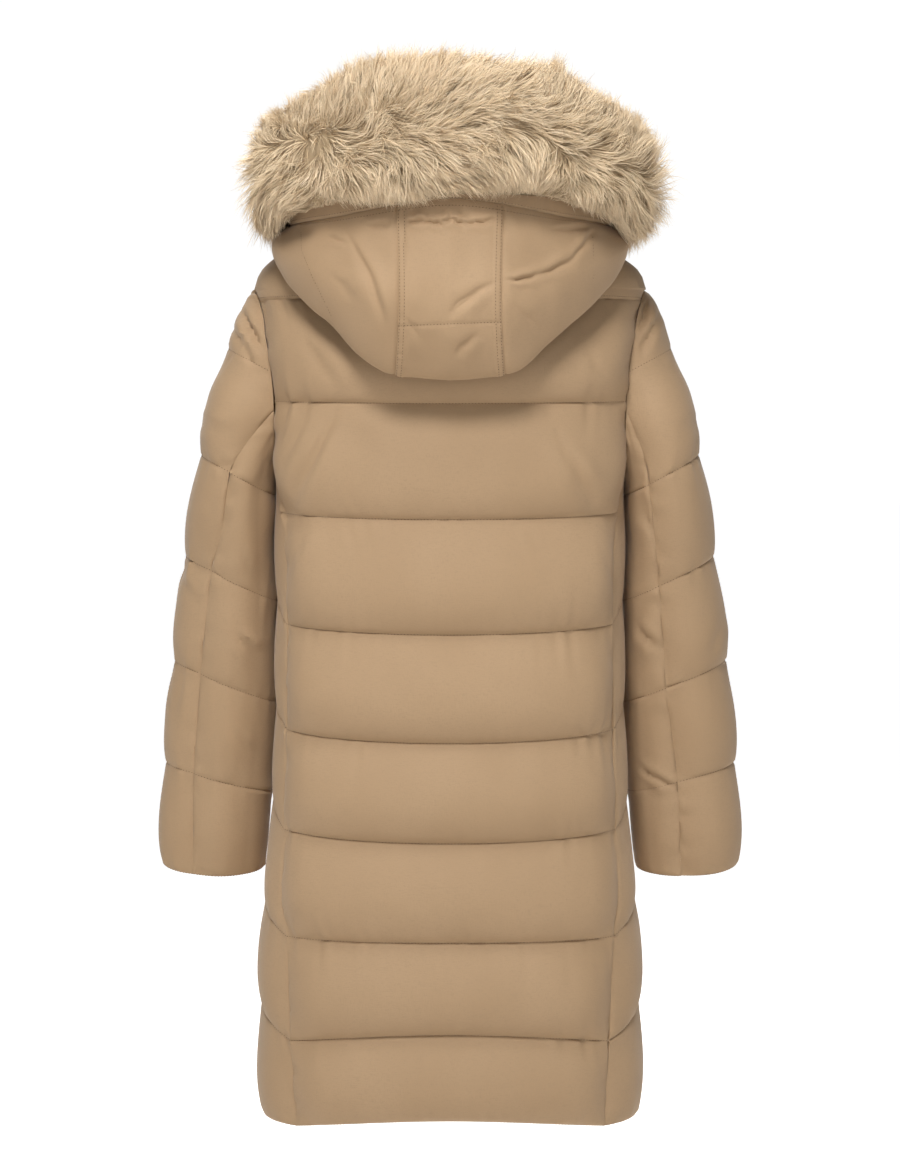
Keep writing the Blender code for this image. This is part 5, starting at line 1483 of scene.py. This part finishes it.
def make_stage():
    """A wide pale floor that glows by its emission, as painted light: dimmer near the coat and
    white behind it.
    """
    turns = 2.0 * math.pi * np.arange(FLOOR_SIDES) / FLOOR_SIDES
    points = [(0.0, 0.0, FLOOR_LEVEL)]
    points += [(FLOOR_REACH * math.cos(t), FLOOR_REACH * math.sin(t), FLOOR_LEVEL) for t in turns]
    faces = [(0, k + 1, (k + 1) % FLOOR_SIDES + 1) for k in range(FLOOR_SIDES)]
    material, tree, shader = new_material("stage_glowing_white")
    split = add_node(tree, "ShaderNodeSeparateXYZ", {"Vector": object_place(tree)})
    # The floor glows more the further it lies behind the coat: painted light, which also lights the
    # coat.
    fill(tree, shader, {"Base Color": FLOOR_COLOUR, "Roughness": 1.0, "Specular IOR Level": 0.0,
                        "Emission Color": WHITE,
                        "Emission Strength": ramp(tree, split.outputs["Y"], *FLOOR_GLOW)})
    floor = mesh_object("stage_floor", points, faces, material)


def add_object(name, data, place):
    item = bpy.data.objects.new(name, data)
    item.location = place
    bpy.context.scene.collection.objects.link(item)
    return item


def make_light():
    world = bpy.data.worlds.new("studio")
    world.use_nodes = True
    tree = world.node_tree
    place = add_node(tree, "ShaderNodeTexCoord").outputs["Generated"]
    way = add_node(tree, "ShaderNodeSeparateXYZ", {"Vector": place})
    slope = add_node(tree, "ShaderNodeMath", {0: way.outputs["Z"]}, operation="ABSOLUTE")
    glow = add_node(tree, "ShaderNodeMath", {0: ramp(tree, slope.outputs[0], *WORLD_GLOW),
                                             1: ramp(tree, way.outputs["Y"], *WORLD_SIDES)},
                    operation="MULTIPLY")
    fill(tree, tree.nodes["Background"], {"Color": WHITE, "Strength": glow.outputs[0]})
    bpy.context.scene.world = world
    for lamp in LAMPS:
        light = bpy.data.lights.new(lamp.name, "AREA")
        light.shape = "DISK"
        light.size = lamp.size
        light.energy = lamp.power
        item = add_object(lamp.name, light, lamp.place)
        beam = Vector(lamp.aim) - Vector(lamp.place)
        item.rotation_euler = beam.to_track_quat("-Z", "Y").to_euler()


def make_camera():
    camera = bpy.data.cameras.new("camera")
    camera.sensor_fit = "HORIZONTAL"
    camera.sensor_width = SENSOR_WIDTH
    camera.lens = LENS
    camera.shift_y = LENS_SHIFT
    item = add_object("camera", camera, CAMERA_PLACE)
    item.rotation_euler = (0.5 * math.pi, 0.0, math.pi)
    bpy.context.scene.camera = item
    bpy.context.scene.view_settings.view_transform = "Standard"


# ---------------------------------------------------------------- the whole scene

# Fields for the flat size and area of a thin cloth piece, though no pieces are listed. Width runs
# along the hood's opening.
Cut = namedtuple("Cut", "piece width length area held rests_on")


def main():
    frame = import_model()
    shell = cloth_material("shell_cloth_woven", SHELL, SHELL_SHADE)
    make_back(shell)
    make_yoke(shell)
    for side, mirrored, seed in (("left", False, 21), ("right", True, 41)):
        make_side("side_" + side, mirrored, seed, shell)
        make_front("front_" + side, mirrored, seed + 3, shell)
        make_sleeve(side, mirrored, seed + 5, shell)
    make_collar(shell)
    make_hood(shell)
    make_band(shell)
    # The roll under the pile has the roots' colour, speckled darker, so that gaps between the locks
    # show painted shade.
    make_fur(fur_material("fur_hair"), plain_material("fur_base_painted_shade", FUR_ROOT, 0.95, grain=0.4))
    stitch_object(plain_material("thread", THREAD, 0.8, grain=0.2))
    metal = plain_material("zip_metal_satin", METAL, 0.35, 1.0, 0.1)
    make_zip(metal)
    tape = cloth_material("zip_tape_woven", TAPE, darker(TAPE, 0.85))
    for name, material in (("zip_tape_left", tape), ("zip_tape_right", tape),
                           ("zip_slider", metal), ("zip_pull", metal)):
        for place in frame["nodes"][name].material_slots:
            place.material = material
    make_stage()
    make_light()
    make_camera()


main()
